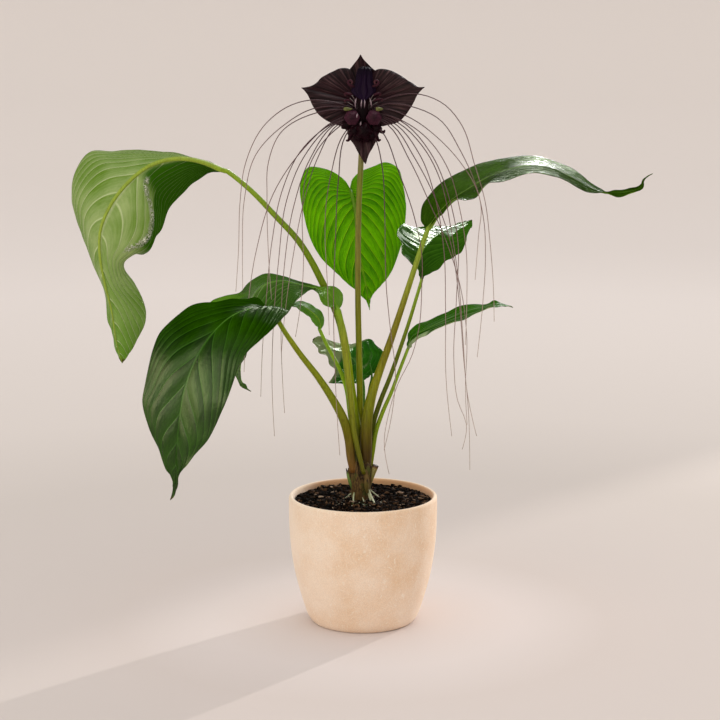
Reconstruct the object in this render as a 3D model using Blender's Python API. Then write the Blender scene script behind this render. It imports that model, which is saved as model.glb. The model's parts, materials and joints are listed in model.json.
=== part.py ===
"""A bat flower in a round clay pot: the pot, its soil, the crown with roots, the leaves on their stalks,
and the dark flower head with its bracts and long whiskers.

Metres, +Z up. The origin is the centre of the pot's flat underside. The flower faces -Y. The outlines of the
leaves, bracts and whiskers are points in millimetres: across (X), back (Y) and up (Z).
"""

import math
import random

import bmesh
import bpy
import numpy as np
from mathutils import Vector

MM = 0.001
GAP = 0.3  # between two pieces that touch on the plant, mm
CUT_GAP = 0.45  # how far a cutter is grown, which leaves about a gap on a hollow curve too

# The pot, as radius and height along its outer side, mm
POT_SIDE = ((53.6, 2.2), (56, 6), (60, 17), (64.5, 32), (69, 50), (72.4, 70), (74.4, 92), (75, 112),
            (75, 127.6))
POT_FOOT_RADIUS = 51.0
POT_HEIGHT = 130.0
POT_WALL = 4.8
POT_FLOOR = 8.0
POT_SEGMENTS = 44

# The soil and the hole that the crown stands in
SOIL_LEVEL = 123.5
SOIL_BUMP = 1.6
SOIL_RINGS = 6
HOLE_RADIUS = 8.8
HOLE_BOTTOM = 100.0
CROWN_ACROSS = -2.5

# The crown, as height and radius
CROWN = ((101, 5), (108, 7), (120, 8.2), (130, 8.4), (139, 9.8), (147, 11.3), (155, 11.2), (162, 9),
         (167, 5))
CROWN_SIDES = 14
CROWN_SHOULDER = 150  # the stalks spring from above it
CROWN_RELIEF = 0.04  # of the radius, the scars of old leaves

# Blades
BLADE_THICKNESS = 0.9
RIB_THICKNESS = 2.0
BRACT_THICKNESS = 0.9
BLADE_ROWS = 13
BLADE_COLUMNS = (-1, -0.5, -0.07, 0, 0.07, 0.5, 1)
BOW = 0.07  # how far each half of a blade bows out of line, of its width

# Stalks and whiskers
STALK_SIDES = 7
STALK_STEPS = 11
WHISKER_SIDES = 3
WHISKER_STEPS = 11
WHISKER_RADII = (0.62, 0.5, 0.42)

LEAVES = {
    "far_left": {
        "left": [(-133, 0, 456), (-154, 6, 466), (-176, 14, 471), (-212, 26, 474), (-247, 31, 475),
            (-272, 32, 474), (-287, 30, 453), (-291, 26, 431), (-284, 20, 406), (-272, 9, 370),
            (-258, -2, 344), (-250, -16, 306), (-243, -26, 280), (-237, -30, 270)],
        "rib": [(-133, 0, 456), (-160, -4, 467), (-189, -8, 468), (-208, -12, 462), (-227, -16, 448),
            (-247, -20, 423), (-256, -23, 401), (-257, -25, 380), (-253, -26, 352), (-246, -28, 321),
            (-242, -30, 291), (-237, -30, 270)],
        "right_fold": [(-133, 0, 456), (-158, 4, 458), (-182, 0, 450), (-204, -10, 436), (-205, -18, 415),
            (-211, -22, 393), (-227, -24, 381), (-241, -25, 370), (-241, -26, 352), (-231, -27, 323),
            (-232, -29, 295), (-237, -30, 270)],
        "right": [(-133, 0, 456), (-156, 10, 452), (-175, 20, 438), (-183, 24, 429), (-191, 24, 419),
            (-203, 20, 396), (-212, 12, 386), (-217, 2, 375), (-229, -8, 376), (-234, -15, 367),
            (-225, -14, 347), (-215, -14, 318), (-219, -20, 298), (-228, -26, 283), (-237, -30, 270)],
    },
    "lower_left": {
        "left": [(-90, -62, 327), (-97, -58, 334), (-114, -56, 338), (-133, -58, 338), (-150, -62, 335),
            (-173, -72, 327), (-192, -82, 312), (-201, -92, 294), (-206, -100, 262), (-209, -104, 246),
            (-202, -108, 218), (-191, -107, 190), (-182, -104, 170), (-185, -100, 149)],
        "rib": [(-90, -62, 327), (-104, -72, 331), (-119, -80, 326), (-141, -92, 306), (-156, -101, 283),
            (-168, -106, 255), (-175, -108, 224), (-178, -106, 190), (-180, -103, 166),
            (-185, -100, 149)],
        "right": [(-90, -62, 327), (-80, -56, 328), (-71, -58, 328), (-76, -66, 322), (-96, -84, 304),
            (-114, -97, 287), (-123, -106, 265), (-133, -112, 240), (-147, -114, 211), (-164, -110, 191),
            (-176, -105, 174), (-178, -102, 160), (-185, -100, 149)],
    },
    "mid_left": {
        "left": [(-25, -10, 319), (-32, -18, 324), (-39, -22, 328), (-42, -20, 336), (-46, -12, 340),
            (-57, -14, 337), (-65, -20, 332), (-75, -26, 320), (-89, -30, 311), (-103, -28, 297),
            (-115, -22, 281), (-121, -12, 264), (-120, -8, 246), (-112, -6, 237)],
        "rib": [(-25, -10, 319), (-29, -10, 330), (-37, -9, 339), (-47, -5, 341), (-63, 2, 344),
            (-83, 8, 347), (-101, 12, 341), (-115, 12, 322), (-123, 8, 292), (-125, 2, 266),
            (-122, -4, 246), (-112, -6, 237)],
        "right": [(-25, -10, 319), (-20, -8, 328), (-21, -7, 337), (-28, -7, 343), (-38, -8, 343),
            (-46, -2, 342), (-63, 12, 346), (-81, 24, 350), (-99, 34, 351), (-115, 42, 340),
            (-125, 50, 328), (-141, 56, 325), (-156, 54, 319), (-159, 44, 302), (-148, 30, 278),
            (-132, 10, 258), (-122, -2, 242), (-112, -6, 237)],
    },
    "small_left": {
        "left": [(-43, 6, 297), (-47, 0, 303), (-53, -3, 311), (-61, -4, 318), (-69, -2, 322),
            (-78, 2, 321)],
        "rib": [(-43, 6, 297), (-44, 5, 308), (-51, 4, 316), (-60, 4, 322), (-69, 4, 324),
            (-78, 2, 321)],
        "right": [(-43, 6, 297), (-39, 10, 304), (-40, 15, 311), (-47, 18, 318), (-55, 18, 323),
            (-65, 14, 325), (-72, 8, 325), (-78, 2, 321)],
    },
    "torn": {
        "left": [(0, 45, 239), (-11, 44, 235), (-26, 40, 237), (-36, 36, 238), (-29, 40, 244),
            (-28, 42, 251), (-34, 42, 257), (-38, 42, 264), (-45, 42, 269), (-46, 42, 275),
            (-51, 42, 277), (-51, 44, 282)],
        "rib": [(0, 45, 239), (-4, 52, 249), (-11, 56, 260), (-22, 56, 266), (-34, 52, 271),
            (-44, 48, 277), (-51, 44, 282)],
        "right": [(0, 45, 239), (12, 40, 248), (18, 42, 258), (21, 48, 268), (13, 56, 274), (8, 64, 279),
            (-2, 70, 276), (-13, 70, 271), (-24, 66, 274), (-36, 58, 279), (-43, 50, 284),
            (-51, 44, 282)],
    },
    "heart": {
        "left": [(-13, 52, 434), (-17, 54, 441), (-25, 57, 448), (-42, 62, 455), (-56, 65, 455),
            (-63, 67, 440), (-63, 68, 422), (-59, 68, 399), (-49, 67, 372), (-34, 65, 354),
            (-13, 61, 334), (1, 58, 323), (7, 56, 310)],
        "rib": [(-13, 52, 434), (-9, 56, 418), (-6, 60, 392), (-3, 60, 363), (3, 58, 335), (7, 56, 310)],
        "right": [(-13, 52, 434), (-11, 56, 443), (-3, 62, 451), (11, 67, 456), (23, 70, 460),
            (35, 72, 454), (41, 74, 439), (44, 75, 416), (40, 74, 380), (33, 71, 355), (24, 67, 340),
            (13, 61, 330), (8, 58, 320), (7, 56, 310)],
    },
    "upper_right": {
        "left": [(64, -5, 400), (58, 6, 406), (58, 14, 415), (64, 24, 430), (74, 31, 439), (87, 35, 447),
            (115, 38, 459), (147, 36, 469), (177, 32, 468), (204, 24, 458), (227, 12, 444),
            (240, 3, 436), (248, 8, 437), (262, 6, 438), (274, 1, 444), (277, 0, 449), (285, 0, 454)],
        "rib": [(64, -5, 400), (76, -8, 418), (88, -10, 430), (103, -11, 440), (119, -11, 450),
            (139, -10, 458), (163, -8, 463), (183, -6, 461), (203, -4, 452), (223, -2, 441),
            (240, 0, 435), (258, 0, 436), (274, 0, 442), (276, 0, 448), (285, 0, 454)],
        "right": [(64, -5, 400), (73, -20, 413), (80, -30, 423), (89, -35, 431), (100, -37, 431),
            (110, -37, 434), (115, -35, 442), (121, -33, 448), (132, -31, 450), (147, -28, 453),
            (167, -24, 456), (187, -19, 452), (207, -12, 443), (225, -7, 437), (240, -3, 435),
            (250, -7, 431), (262, -6, 434), (274, -1, 441), (277, 0, 448), (285, 0, 454)],
    },
    "right_mid": {
        "left": [(59, 25, 345), (53, 20, 358), (46, 16, 366), (40, 18, 374), (38, 26, 381),
            (34, 34, 389), (36, 46, 395), (43, 58, 399), (53, 66, 394), (69, 76, 394), (88, 90, 393),
            (103, 104, 395), (114, 112, 397)],
        "rib": [(59, 25, 345), (58, 27, 359), (60, 33, 373), (67, 44, 381), (77, 60, 388), (90, 82, 392),
            (103, 100, 394), (114, 112, 397)],
        "right": [(59, 25, 345), (67, 20, 353), (75, 20, 357), (84, 24, 364), (93, 34, 369),
            (100, 46, 372), (105, 62, 378), (108, 84, 386), (114, 104, 392), (114, 112, 397)],
    },
    "lower_right": {
        "left": [(45, 20, 275), (45, 26, 282), (46, 34, 290), (56, 42, 297), (73, 46, 304),
            (94, 44, 313), (109, 38, 319), (123, 30, 320), (132, 22, 324), (140, 14, 323),
            (150, 8, 320)],
        "rib": [(45, 20, 275), (49, 20, 287), (62, 20, 295), (82, 18, 305), (102, 16, 314),
            (122, 13, 320), (137, 10, 323), (150, 8, 320)],
        "right": [(45, 20, 275), (51, 8, 284), (62, -2, 294), (76, -10, 303), (96, -12, 310),
            (114, -9, 318), (126, -2, 321), (139, 5, 322), (150, 8, 320)],
    },
}
STALKS = {
    "far_left": [(-3, 2, 155), (-5, 3, 185), (-9, 4, 214), (-13, 4, 242), (-17, 4, 275), (-23, 3, 306),
        (-31, 2, 327), (-39, 1, 343), (-51, 0, 367), (-62, 0, 385), (-87, 0, 413), (-111, 0, 438),
        (-125, 0, 450), (-132.6, 0, 455.7)],
    "mid_left": [(1, -12, 154), (-4, -12, 174), (-10, -11, 203), (-12, -10, 229), (-15, -9, 254),
        (-18, -9, 280), (-21, -10, 302), (-25, -10, 319)],
    "lower_left": [(-9, -7, 155), (-12, -8, 169), (-14, -9, 188), (-20, -12, 211), (-30, -17, 231),
        (-44, -27, 255), (-62, -42, 282), (-76, -56, 306), (-84, -62, 320), (-90, -62, 327)],
    "small_left": [(-7, 6, 156), (-10, 9, 184), (-13, 10, 210), (-17, 9, 238), (-23, 8, 256),
        (-31, 7, 272), (-38, 6, 286), (-43, 6, 297)],
    "torn": [(0.5, 9.5, 149), (1.5, 17, 173), (1, 25, 201), (1, 34, 220), (1, 42, 231), (0, 45, 239)],
    "heart": [(-7.5, 8.5, 150), (-6, 15, 174), (-4, 22, 223), (-4, 26, 263), (-5, 31, 304), (-5, 37, 354),
        (-6, 43, 394), (-9, 49, 420), (-13, 52, 434)],
    "upper_right": [(2, -3, 154), (3, -3, 182), (4, -3, 207), (8, -3, 230), (16, -3, 256), (26, -4, 284),
        (36, -4, 314), (45, -4, 342), (52, -4, 364), (59, -5, 386), (64, -5, 400)],
    "right_mid": [(5, 5, 151), (8, 8, 176), (11, 10, 203), (17, 12, 222), (27, 15, 247), (37, 18, 275),
        (47, 21, 305), (54, 24, 328), (59, 25, 345)],
    "lower_right": [(6.5, 1, 152), (10, 1, 176), (13, 3, 194), (20, 6, 214), (29, 10, 234), (37, 15, 255),
        (45, 20, 275)],
    "flower": [(-1, 8, 153), (-2, 9, 184), (-3, 8, 226), (-4, 6, 277), (-5, 5, 328), (-5, 4, 378),
        (-4, 3, 428), (-2, 3, 467), (-0.6, 2.6, 506)],
    "young": [(4, 8.5, 150), (4.5, 18, 184), (5, 23, 217), (7, 24, 235), (9, 25, 247), (8, 25, 255),
        (7, 25, 260)],
}
BRACTS = {
    "left": {
        "left": [(-2.0, 7.0, 523.5), (-6.0, 8.0, 537.0), (-9.0, 9.0, 548.5), (-13.0, 9.0, 555.5),
            (-21.0, 7.0, 556.5), (-30.5, 5.0, 552.5), (-39.5, 2.0, 548.0), (-48.5, -1.0, 540.5),
            (-55.5, -3.0, 538.0), (-60.0, -5.0, 538.0)],
        "rib": [(-2.0, 7.0, 523.5), (-13.0, 6.0, 526.5), (-27.5, 4.0, 530.5), (-42.0, 1.0, 534.5),
            (-53.5, -3.0, 537.0), (-60.0, -5.0, 538.0)],
        "right": [(-2.0, 7.0, 523.5), (-5.0, 5.0, 513.0), (-11.0, 2.0, 503.5), (-17.5, 0.0, 499.5),
            (-25.5, -1.0, 501.5), (-34.0, -2.0, 505.0), (-43.5, -3.0, 512.0), (-50.0, -3.0, 522.0),
            (-54.5, -4.0, 532.0), (-60.0, -5.0, 538.0)],
    },
    "right": {
        "left": [(2.0, 7.0, 523.5), (4.0, 5.0, 513.0), (9.0, 2.0, 504.5), (15.5, 0.0, 500.5),
            (26.0, -1.0, 502.0), (33.5, -2.0, 504.0), (42.5, -3.0, 512.5), (49.0, -3.0, 523.0),
            (53.5, -4.0, 532.0), (60.0, -5.0, 538.5)],
        "rib": [(2.0, 7.0, 523.5), (12.5, 6.0, 526.5), (27.5, 4.0, 530.5), (42.0, 1.0, 535.0),
            (53.5, -3.0, 538.0), (60.0, -5.0, 538.5)],
        "right": [(2.0, 7.0, 523.5), (5.0, 8.0, 537.0), (8.0, 9.0, 547.5), (12.5, 9.0, 554.0),
            (26.0, 7.0, 554.5), (36.0, 5.0, 550.0), (45.5, 2.0, 543.0), (53.0, -1.0, 538.5),
            (56.5, -3.0, 538.0), (60.0, -5.0, 538.5)],
    },
    "top": {
        "left": [(0.0, 5.0, 525.5), (-7.0, 12.0, 533.0), (-14.0, 14.5, 544.5), (-15.0, 15.5, 552.5),
            (-11.0, 15.0, 557.5), (-6.5, 13.5, 563.0), (-2.5, 10.0, 569.5)],
        "rib": [(0.0, 5.0, 525.5), (-0.5, 13.0, 539.0), (-1.5, 14.0, 554.5), (-2.5, 10.0, 569.5)],
        "right": [(0.0, 5.0, 525.5), (7.0, 12.0, 533.0), (13.5, 14.5, 543.5), (15.5, 15.5, 551.5),
            (10.5, 15.0, 555.0), (3.5, 13.5, 561.0), (-2.5, 10.0, 569.5)],
    },
    "low": {
        "left": [(-0.5, -1.0, 508.5), (-9.0, -2.5, 502.5), (-15.5, -4.0, 496.0), (-13.5, -5.5, 489.0),
            (-9.5, -7.0, 484.0), (-3.0, -9.0, 472.0), (2.5, -9.0, 464.0)],
        "rib": [(-0.5, -1.0, 508.5), (-0.5, -3.5, 493.0), (1.0, -8.5, 478.5), (2.5, -9.0, 464.0)],
        "right": [(-0.5, -1.0, 508.5), (8.5, -2.5, 502.5), (15.5, -4.0, 496.0), (13.5, -5.5, 488.0),
            (11.0, -7.0, 483.0), (6.0, -9.0, 474.0), (2.5, -9.0, 464.0)],
    },
}
WHISKERS = (
    [(-5, -3, 516), (-28, -7, 524), (-52, -10, 526), (-71, -17, 521), (-95, -25, 503), (-114, -31, 465),
        (-119, -33, 431), (-121, -35, 383), (-124, -36, 342)],
    [(-5, -3, 515), (-27, -7, 520), (-48, -11, 518), (-76, -20, 503), (-104, -29, 474), (-115, -34, 431),
        (-117, -38, 383), (-117, -40, 344)],
    [(-5, -3, 514), (-22, -7, 517), (-45, -12, 514), (-80, -22, 495), (-92, -29, 465), (-93, -33, 436),
        (-92, -38, 383), (-89, -42, 335)],
    [(-5, -3, 513), (-31, -12, 503), (-61, -25, 477), (-78, -34, 441), (-88, -40, 393), (-94, -46, 335),
        (-98, -48, 286), (-100, -48, 240)],
    [(-5, -4, 512), (-29, -12, 503), (-58, -23, 471), (-74, -32, 431), (-82, -38, 373), (-87, -44, 315),
        (-89, -46, 256), (-87, -46, 200)],
    [(-5, -4, 511), (-27, -12, 503), (-52, -22, 469), (-67, -30, 426), (-77, -36, 363), (-80, -42, 305),
        (-79, -44, 261), (-77, -44, 223)],
    [(-4, -4, 510), (-25, -11, 502), (-44, -19, 471), (-57, -27, 431), (-69, -33, 371), (-77, -37, 314),
        (-80, -39, 280)],
    [(-4, -4, 509), (-19, -12, 493), (-31, -21, 456), (-36, -26, 426), (-37, -30, 397), (-35, -34, 353),
        (-33, -36, 299)],
    [(-5, -4, 511), (-24, -12, 500), (-44, -22, 479), (-55, -27, 455), (-59, -32, 416), (-58, -36, 368),
        (-61, -38, 329), (-66, -40, 298)],
    [(-5, -3, 514), (-30, -13, 505), (-55, -27, 483), (-85, -39, 441), (-103, -47, 384),
        (-112, -50, 326), (-116, -50, 265)],
    [(-3, -5, 509), (-17, -12, 492), (-24, -19, 449), (-27, -23, 391), (-29, -25, 332), (-28, -27, 273),
        (-26, -28, 223), (-23, -29, 177)],
    [(5, -3, 517), (30, -7, 530), (53, -11, 532), (79, -22, 522), (95, -31, 503), (107, -43, 466),
        (117, -48, 432), (122, -50, 394), (126, -52, 346), (127, -52, 315)],
    [(5, -3, 516), (28, -8, 523), (47, -12, 520), (74, -24, 508), (93, -39, 480), (108, -47, 447),
        (116, -50, 413), (118, -50, 375), (116, -52, 336), (111, -52, 280)],
    [(5, -3, 515), (26, -8, 517), (42, -12, 511), (74, -29, 489), (95, -42, 466), (108, -48, 445),
        (113, -50, 428), (111, -52, 399), (108, -54, 356)],
    [(5, -3, 514), (33, -13, 505), (60, -29, 479), (76, -43, 446), (84, -48, 408), (92, -52, 356),
        (97, -54, 297), (101, -54, 248), (111, -54, 202)],
    [(5, -3, 513), (30, -12, 504), (55, -28, 474), (70, -42, 432), (78, -46, 384), (80, -48, 326),
        (81, -50, 257), (87, -50, 201)],
    [(5, -4, 512), (27, -12, 503), (50, -26, 471), (68, -41, 437), (85, -46, 389), (93, -48, 335),
        (98, -50, 277), (103, -50, 227), (105, -50, 167)],
    [(5, -4, 511), (23, -11, 503), (45, -24, 469), (65, -40, 427), (80, -44, 393), (95, -45, 345),
        (101, -47, 296), (100, -48, 247), (102, -48, 212)],
    [(5, -3, 515), (35, -14, 507), (66, -35, 475), (83, -49, 433), (91, -53, 394), (90, -56, 337),
        (88, -57, 278), (92, -57, 238), (101, -56, 213), (97, -56, 189)],
    [(3, -5, 507), (13, -12, 487), (19, -17, 459), (21, -21, 420), (23, -24, 342), (27, -25, 302),
        (32, -25, 257), (30, -24, 227), (21, -23, 181)],
    [(4, -4, 509), (19, -12, 495), (34, -23, 459), (49, -35, 417), (57, -39, 378), (57, -39, 344),
        (55, -38, 309), (48, -36, 279), (34, -33, 249), (25, -31, 218), (21, -30, 193), (26, -30, 158)],
    [(5, -3, 514), (32, -13, 509), (63, -28, 489), (82, -42, 461), (93, -51, 423), (99, -55, 385),
        (100, -58, 337), (99, -58, 293)],
)

# Radii of the stalks from the crown to the blade, evenly spaced along the stalk
STALK_RADII = {
    "far_left": (5.2, 5.2, 4.8, 4.2, 3.8, 3.4, 3.0, 2.7, 2.4),
    "mid_left": (2.2, 2.6, 2.9, 3.0, 3.1, 3.3, 3.4),
    "lower_left": (4.2, 4.6, 4.6, 3.8, 3.2, 2.8, 2.5, 2.2),
    "small_left": (2.0, 2.4, 2.4, 2.1, 1.9, 1.8),
    "torn": (1.6, 1.5, 1.4, 1.3),
    "heart": (2.2, 2.3, 2.2, 2.0, 1.8),
    "upper_right": (6.0, 6.4, 5.4, 4.2, 3.6, 3.2, 2.9, 2.6, 2.3),
    "right_mid": (2.2, 2.6, 2.5, 2.2, 2.0, 1.8, 1.6),
    "lower_right": (2.4, 2.4, 2.2, 1.9, 1.7, 1.6),
    "flower": (3.0, 3.2, 3.2, 3.0, 2.9, 2.9, 2.8, 2.7),
    "young": (1.2, 1.5, 2.3, 1.7, 0.5),
}
# From the piece that keeps its whole shape to the one that is cut back most where they press together
STALK_ORDER = ("mid_left", "lower_left", "upper_right", "far_left", "flower", "lower_right", "right_mid",
               "small_left", "heart", "torn", "young")

# Old leaf bases on the crown: path, then radii
SHEATH_STUB = (((-9, -3, 136), (-12.5, -4, 144), (-15, -4, 151), (-17, -4, 158)), (2.2, 3.2, 2.4, 0.5))
CUT_STUB = (((6, -2, 139), (8.5, -3, 147), (10.5, -3.5, 154), (13, -4, 161)), (1.6, 2.2, 2.6, 3.4))
ROOTS = (
    (((3, -5, 138), (7, -8, 131), (9, -12, 127), (12, -17, 125.6)), 0.9),
    (((4, -6, 133), (6, -10, 128), (8, -15, 125.6)), 0.8),
    (((-8, -4, 133), (-10, -8, 128), (-9, -13, 125.8)), 0.9),
    (((-1, -7, 131), (0, -10, 127.5), (1, -14, 125.6)), 0.7),
    (((6, 4, 134), (12, 6, 128), (17, 6, 125.8)), 0.8),
)

# The flower head: a core with buds and small open flowers, as place, radius and how long it is to its width
CORE = ((-0.4, 1, 519), (9, 6.5, 17))
UPPER_FOLD = ((0.9, -1, 541), (7.5, 4, 14))
BUDS = (
    ((-10.8, -9, 509), 7.2),
    ((10.6, -9, 509), 7.2),
    ((-16.2, -7, 501), 4.6),
    ((13.8, -6, 500), 4.6),
    ((0.4, -10, 499), 6.0),
    ((-11.8, -1, 542), 3.8),
    ((11.6, -1, 540), 3.8),
    ((-16.4, -3, 530), 3.2),
    ((14.4, -3, 530), 3.2),
)
BUD_SEGMENTS = 8
BUD_RINGS = 6
CURLED_ENDS = (
    ((-10, -9, 499), (-12.5, -11, 492), (-14.7, -10, 487), (-16.4, -9, 487)),
    ((10, -9, 498), (13, -11, 492), (15.5, -10, 487), (17, -9, 488)),
    ((13, -8, 501), (17, -9, 496), (20, -9, 495), (21, -8, 497)),
)
CURLED_RADII = (1.6, 1.9, 1.7, 0.9)
STIGMAS = {"left": (-15.2, -11.8, 517.6), "right": (15.5, -11.8, 517.6)}
STIGMA_RADII = (4.2, 1.7, 1.8)

COLOURS = {
    "clay": ("E9C69C", 0.85),
    "soil": ("2A211B", 0.95),
    "crown": ("6B4A24", 0.8),
    "stalk": ("83872B", 0.5),
    "leaf": ("2F6A14", 0.38),
    "bract": ("2A171B", 0.5),
    "flower": ("3B1F30", 0.4),
    "stigma": ("B9B94A", 0.5),
}


def clear_scene():
    for thing in list(bpy.data.objects):
        bpy.data.objects.remove(thing)


def material(name):
    """A plain material in one of the plant's colours, made once."""
    if name in bpy.data.materials:
        return bpy.data.materials[name]
    code, roughness = COLOURS[name]
    channels = [int(code[i:i + 2], 16) / 255 for i in (0, 2, 4)]
    linear = [c / 12.92 if c <= 0.04045 else ((c + 0.055) / 1.055) ** 2.4 for c in channels]
    made = bpy.data.materials.new(name)
    made.use_nodes = True
    shader = made.node_tree.nodes["Principled BSDF"]
    shader.inputs["Base Color"].default_value = (*linear, 1)
    shader.inputs["Roughness"].default_value = roughness
    shader.inputs["Metallic"].default_value = 0
    return made


def add_object(name, mesh, colour):
    mesh.shade_smooth()
    piece = bpy.data.objects.new(name, mesh)
    bpy.context.scene.collection.objects.link(piece)
    piece.data.materials.append(material(colour))
    return piece


def mesh_from(name, points, faces):
    """A mesh from places in mm, with its faces turned outwards where it is closed."""
    mesh = bpy.data.meshes.new(name)
    mesh.from_pydata([tuple(MM * v for v in p) for p in points], [], faces)
    shape = bmesh.new()
    shape.from_mesh(mesh)
    bmesh.ops.recalc_face_normals(shape, faces=shape.faces)
    shape.to_mesh(mesh)
    shape.free()
    return mesh


def along(points, fractions):
    """Places on a smooth curve through the points, at fractions of the way along it."""
    points = np.array(points, float)
    steps = np.linalg.norm(np.diff(points, axis=0), axis=1)
    knots = np.concatenate([[0], np.cumsum(steps)])
    slopes = np.diff(points, axis=0) / steps[:, None]
    before, after = steps[:-1, None], steps[1:, None]
    inner = (slopes[:-1] * after + slopes[1:] * before) / (before + after)
    tangents = np.vstack([1.5 * slopes[:1] - 0.5 * inner[:1], inner, 1.5 * slopes[-1:] - 0.5 * inner[-1:]])
    places = np.asarray(fractions, float) * knots[-1]
    k = np.clip(np.searchsorted(knots, places, side="right") - 1, 0, len(steps) - 1)
    span = steps[k][:, None]
    t = ((places - knots[k]) / steps[k])[:, None]
    return ((2 * t**3 - 3 * t**2 + 1) * points[k] + (t**3 - 2 * t**2 + t) * span * tangents[k]
            + (3 * t**2 - 2 * t**3) * points[k + 1] + (t**3 - t**2) * span * tangents[k + 1])


def blade_grid(lines, rows, columns):
    """Places over a blade: its rib and margins share a base and a tip, and each half bows between them."""
    ways = np.linspace(0, 1, rows + 2)[1:-1]
    ways = ways - 0.09 * np.sin(2 * np.pi * ways)
    left, rib, right = (along(lines[name], ways) for name in ("left", "rib", "right"))
    lengthwise = np.gradient(rib, axis=0)
    facing = np.cross(lengthwise, right - left)
    facing /= np.linalg.norm(facing, axis=1)[:, None]
    grid = np.empty((rows, len(columns), 3))
    for c, v in enumerate(columns):
        edge = left if v < 0 else right
        width = np.linalg.norm(edge - rib, axis=1)[:, None]
        middle = (rib + edge) / 2 + BOW * width * facing
        if v < 0 and "left_fold" in lines:
            middle = along(lines["left_fold"], ways)
        if v > 0 and "right_fold" in lines:
            middle = along(lines["right_fold"], ways)
        t = abs(v)
        grid[:, c] = (1 - t) * (1 - 2 * t) * rib + 4 * t * (1 - t) * middle + t * (2 * t - 1) * edge
    return grid


def blade(name, lines, colour, thickness, rib_thickness):
    """A leaf or bract as a thin curved sheet, thicker along its rib, with triangles alike on both faces."""
    columns = len(BLADE_COLUMNS)
    grid = blade_grid(lines, BLADE_ROWS, BLADE_COLUMNS)
    points = [lines["rib"][0], lines["rib"][-1], *map(tuple, grid.reshape(-1, 3))]
    first = 2
    last = 2 + (BLADE_ROWS - 1) * columns
    faces = [(0, first + c + 1, first + c) for c in range(columns - 1)]
    faces += [(1, last + c, last + c + 1) for c in range(columns - 1)]
    for r in range(BLADE_ROWS - 1):
        for c in range(columns - 1):
            a = first + r * columns + c
            b, d = a + 1, a + columns
            faces += [(a, b, d), (b, d + 1, d)]
    mesh = bpy.data.meshes.new(name)
    mesh.from_pydata([tuple(MM * v for v in p) for p in points], [], faces)
    piece = add_object(name, mesh, colour)
    rib = piece.vertex_groups.new(name="rib")
    centre = BLADE_COLUMNS.index(0)
    for r in range(BLADE_ROWS):
        rib.add([first + r * columns + centre], 1 - r / BLADE_ROWS, "REPLACE")
    wall = piece.modifiers.new("thickness", "SOLIDIFY")
    wall.thickness = rib_thickness * MM
    wall.offset = 0
    wall.vertex_group = "rib"
    wall.thickness_vertex_group = thickness / rib_thickness
    return piece


def tube(path, radii, sides, steps):
    """Points and faces of a closed tube along a smooth path, with radii evenly spaced along it."""
    ways = np.linspace(0, 1, steps + 1)
    centres = along(path, ways)
    thick = np.interp(ways, np.linspace(0, 1, len(radii)), radii)
    tangents = np.gradient(centres, axis=0)
    tangents /= np.linalg.norm(tangents, axis=1)[:, None]
    side = Vector(tangents[0]).orthogonal().normalized()
    points = []
    for centre, tangent, radius in zip(centres, tangents, thick.tolist()):
        tangent = Vector(tangent)
        side = (side - tangent * side.dot(tangent)).normalized()
        other = tangent.cross(side)
        for k in range(sides):
            angle = 2 * math.pi * k / sides
            points.append(Vector(centre) + radius * (math.cos(angle) * side + math.sin(angle) * other))
    faces = [tuple(range(sides)), tuple(steps * sides + k for k in range(sides))]
    for s in range(steps):
        for k in range(sides):
            a, b = s * sides + k, s * sides + (k + 1) % sides
            faces.append((a, b, b + sides, a + sides))
    return points, faces


def add_tube(name, path, radii, colour, sides=STALK_SIDES, steps=STALK_STEPS):
    return add_object(name, mesh_from(name, *tube(path, radii, sides, steps)), colour)


def add_ball(name, place, radii, colour, segments=BUD_SEGMENTS, rings=BUD_RINGS):
    shape = bmesh.new()
    bmesh.ops.create_uvsphere(shape, u_segments=segments, v_segments=rings, radius=1)
    bmesh.ops.scale(shape, verts=shape.verts, vec=[MM * r for r in radii])
    bmesh.ops.translate(shape, verts=shape.verts, vec=[MM * v for v in place])
    mesh = bpy.data.meshes.new(name)
    shape.to_mesh(mesh)
    shape.free()
    return add_object(name, mesh, colour)


def turned(name, profile, colour, segments):
    """A solid turned round the Z axis from a profile of radius and height that ends on the axis."""
    shape = bmesh.new()
    rim = [shape.verts.new((MM * r, 0, MM * z)) for r, z in profile]
    edges = [shape.edges.new(pair) for pair in zip(rim, rim[1:])]
    bmesh.ops.spin(shape, geom=rim + edges, cent=(0, 0, 0), axis=(0, 0, 1), angle=2 * math.pi,
                   steps=segments)
    bmesh.ops.remove_doubles(shape, verts=shape.verts, dist=0.01 * MM)
    bmesh.ops.recalc_face_normals(shape, faces=shape.faces)
    mesh = bpy.data.meshes.new(name)
    shape.to_mesh(mesh)
    shape.free()
    return add_object(name, mesh, colour)


def settle(piece):
    """Applies the piece's modifiers."""
    graph = bpy.context.evaluated_depsgraph_get()
    mesh = bpy.data.meshes.new_from_object(piece.evaluated_get(graph))
    piece.modifiers.clear()
    piece.data = mesh


def keep_largest(piece):
    """Drops the small scraps that a cut leaves beside the piece."""
    shape = bmesh.new()
    shape.from_mesh(piece.data)
    left = set(shape.verts)
    bodies = []
    while left:
        body, edge = set(), [left.pop()]
        while edge:
            vert = edge.pop()
            body.add(vert)
            for link in vert.link_edges:
                other = link.other_vert(vert)
                if other in left:
                    left.remove(other)
                    edge.append(other)
        bodies.append(body)
    bodies.sort(key=len)
    for body in bodies[:-1]:
        bmesh.ops.delete(shape, geom=list(body), context="VERTS")
    shape.to_mesh(piece.data)
    shape.free()


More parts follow.
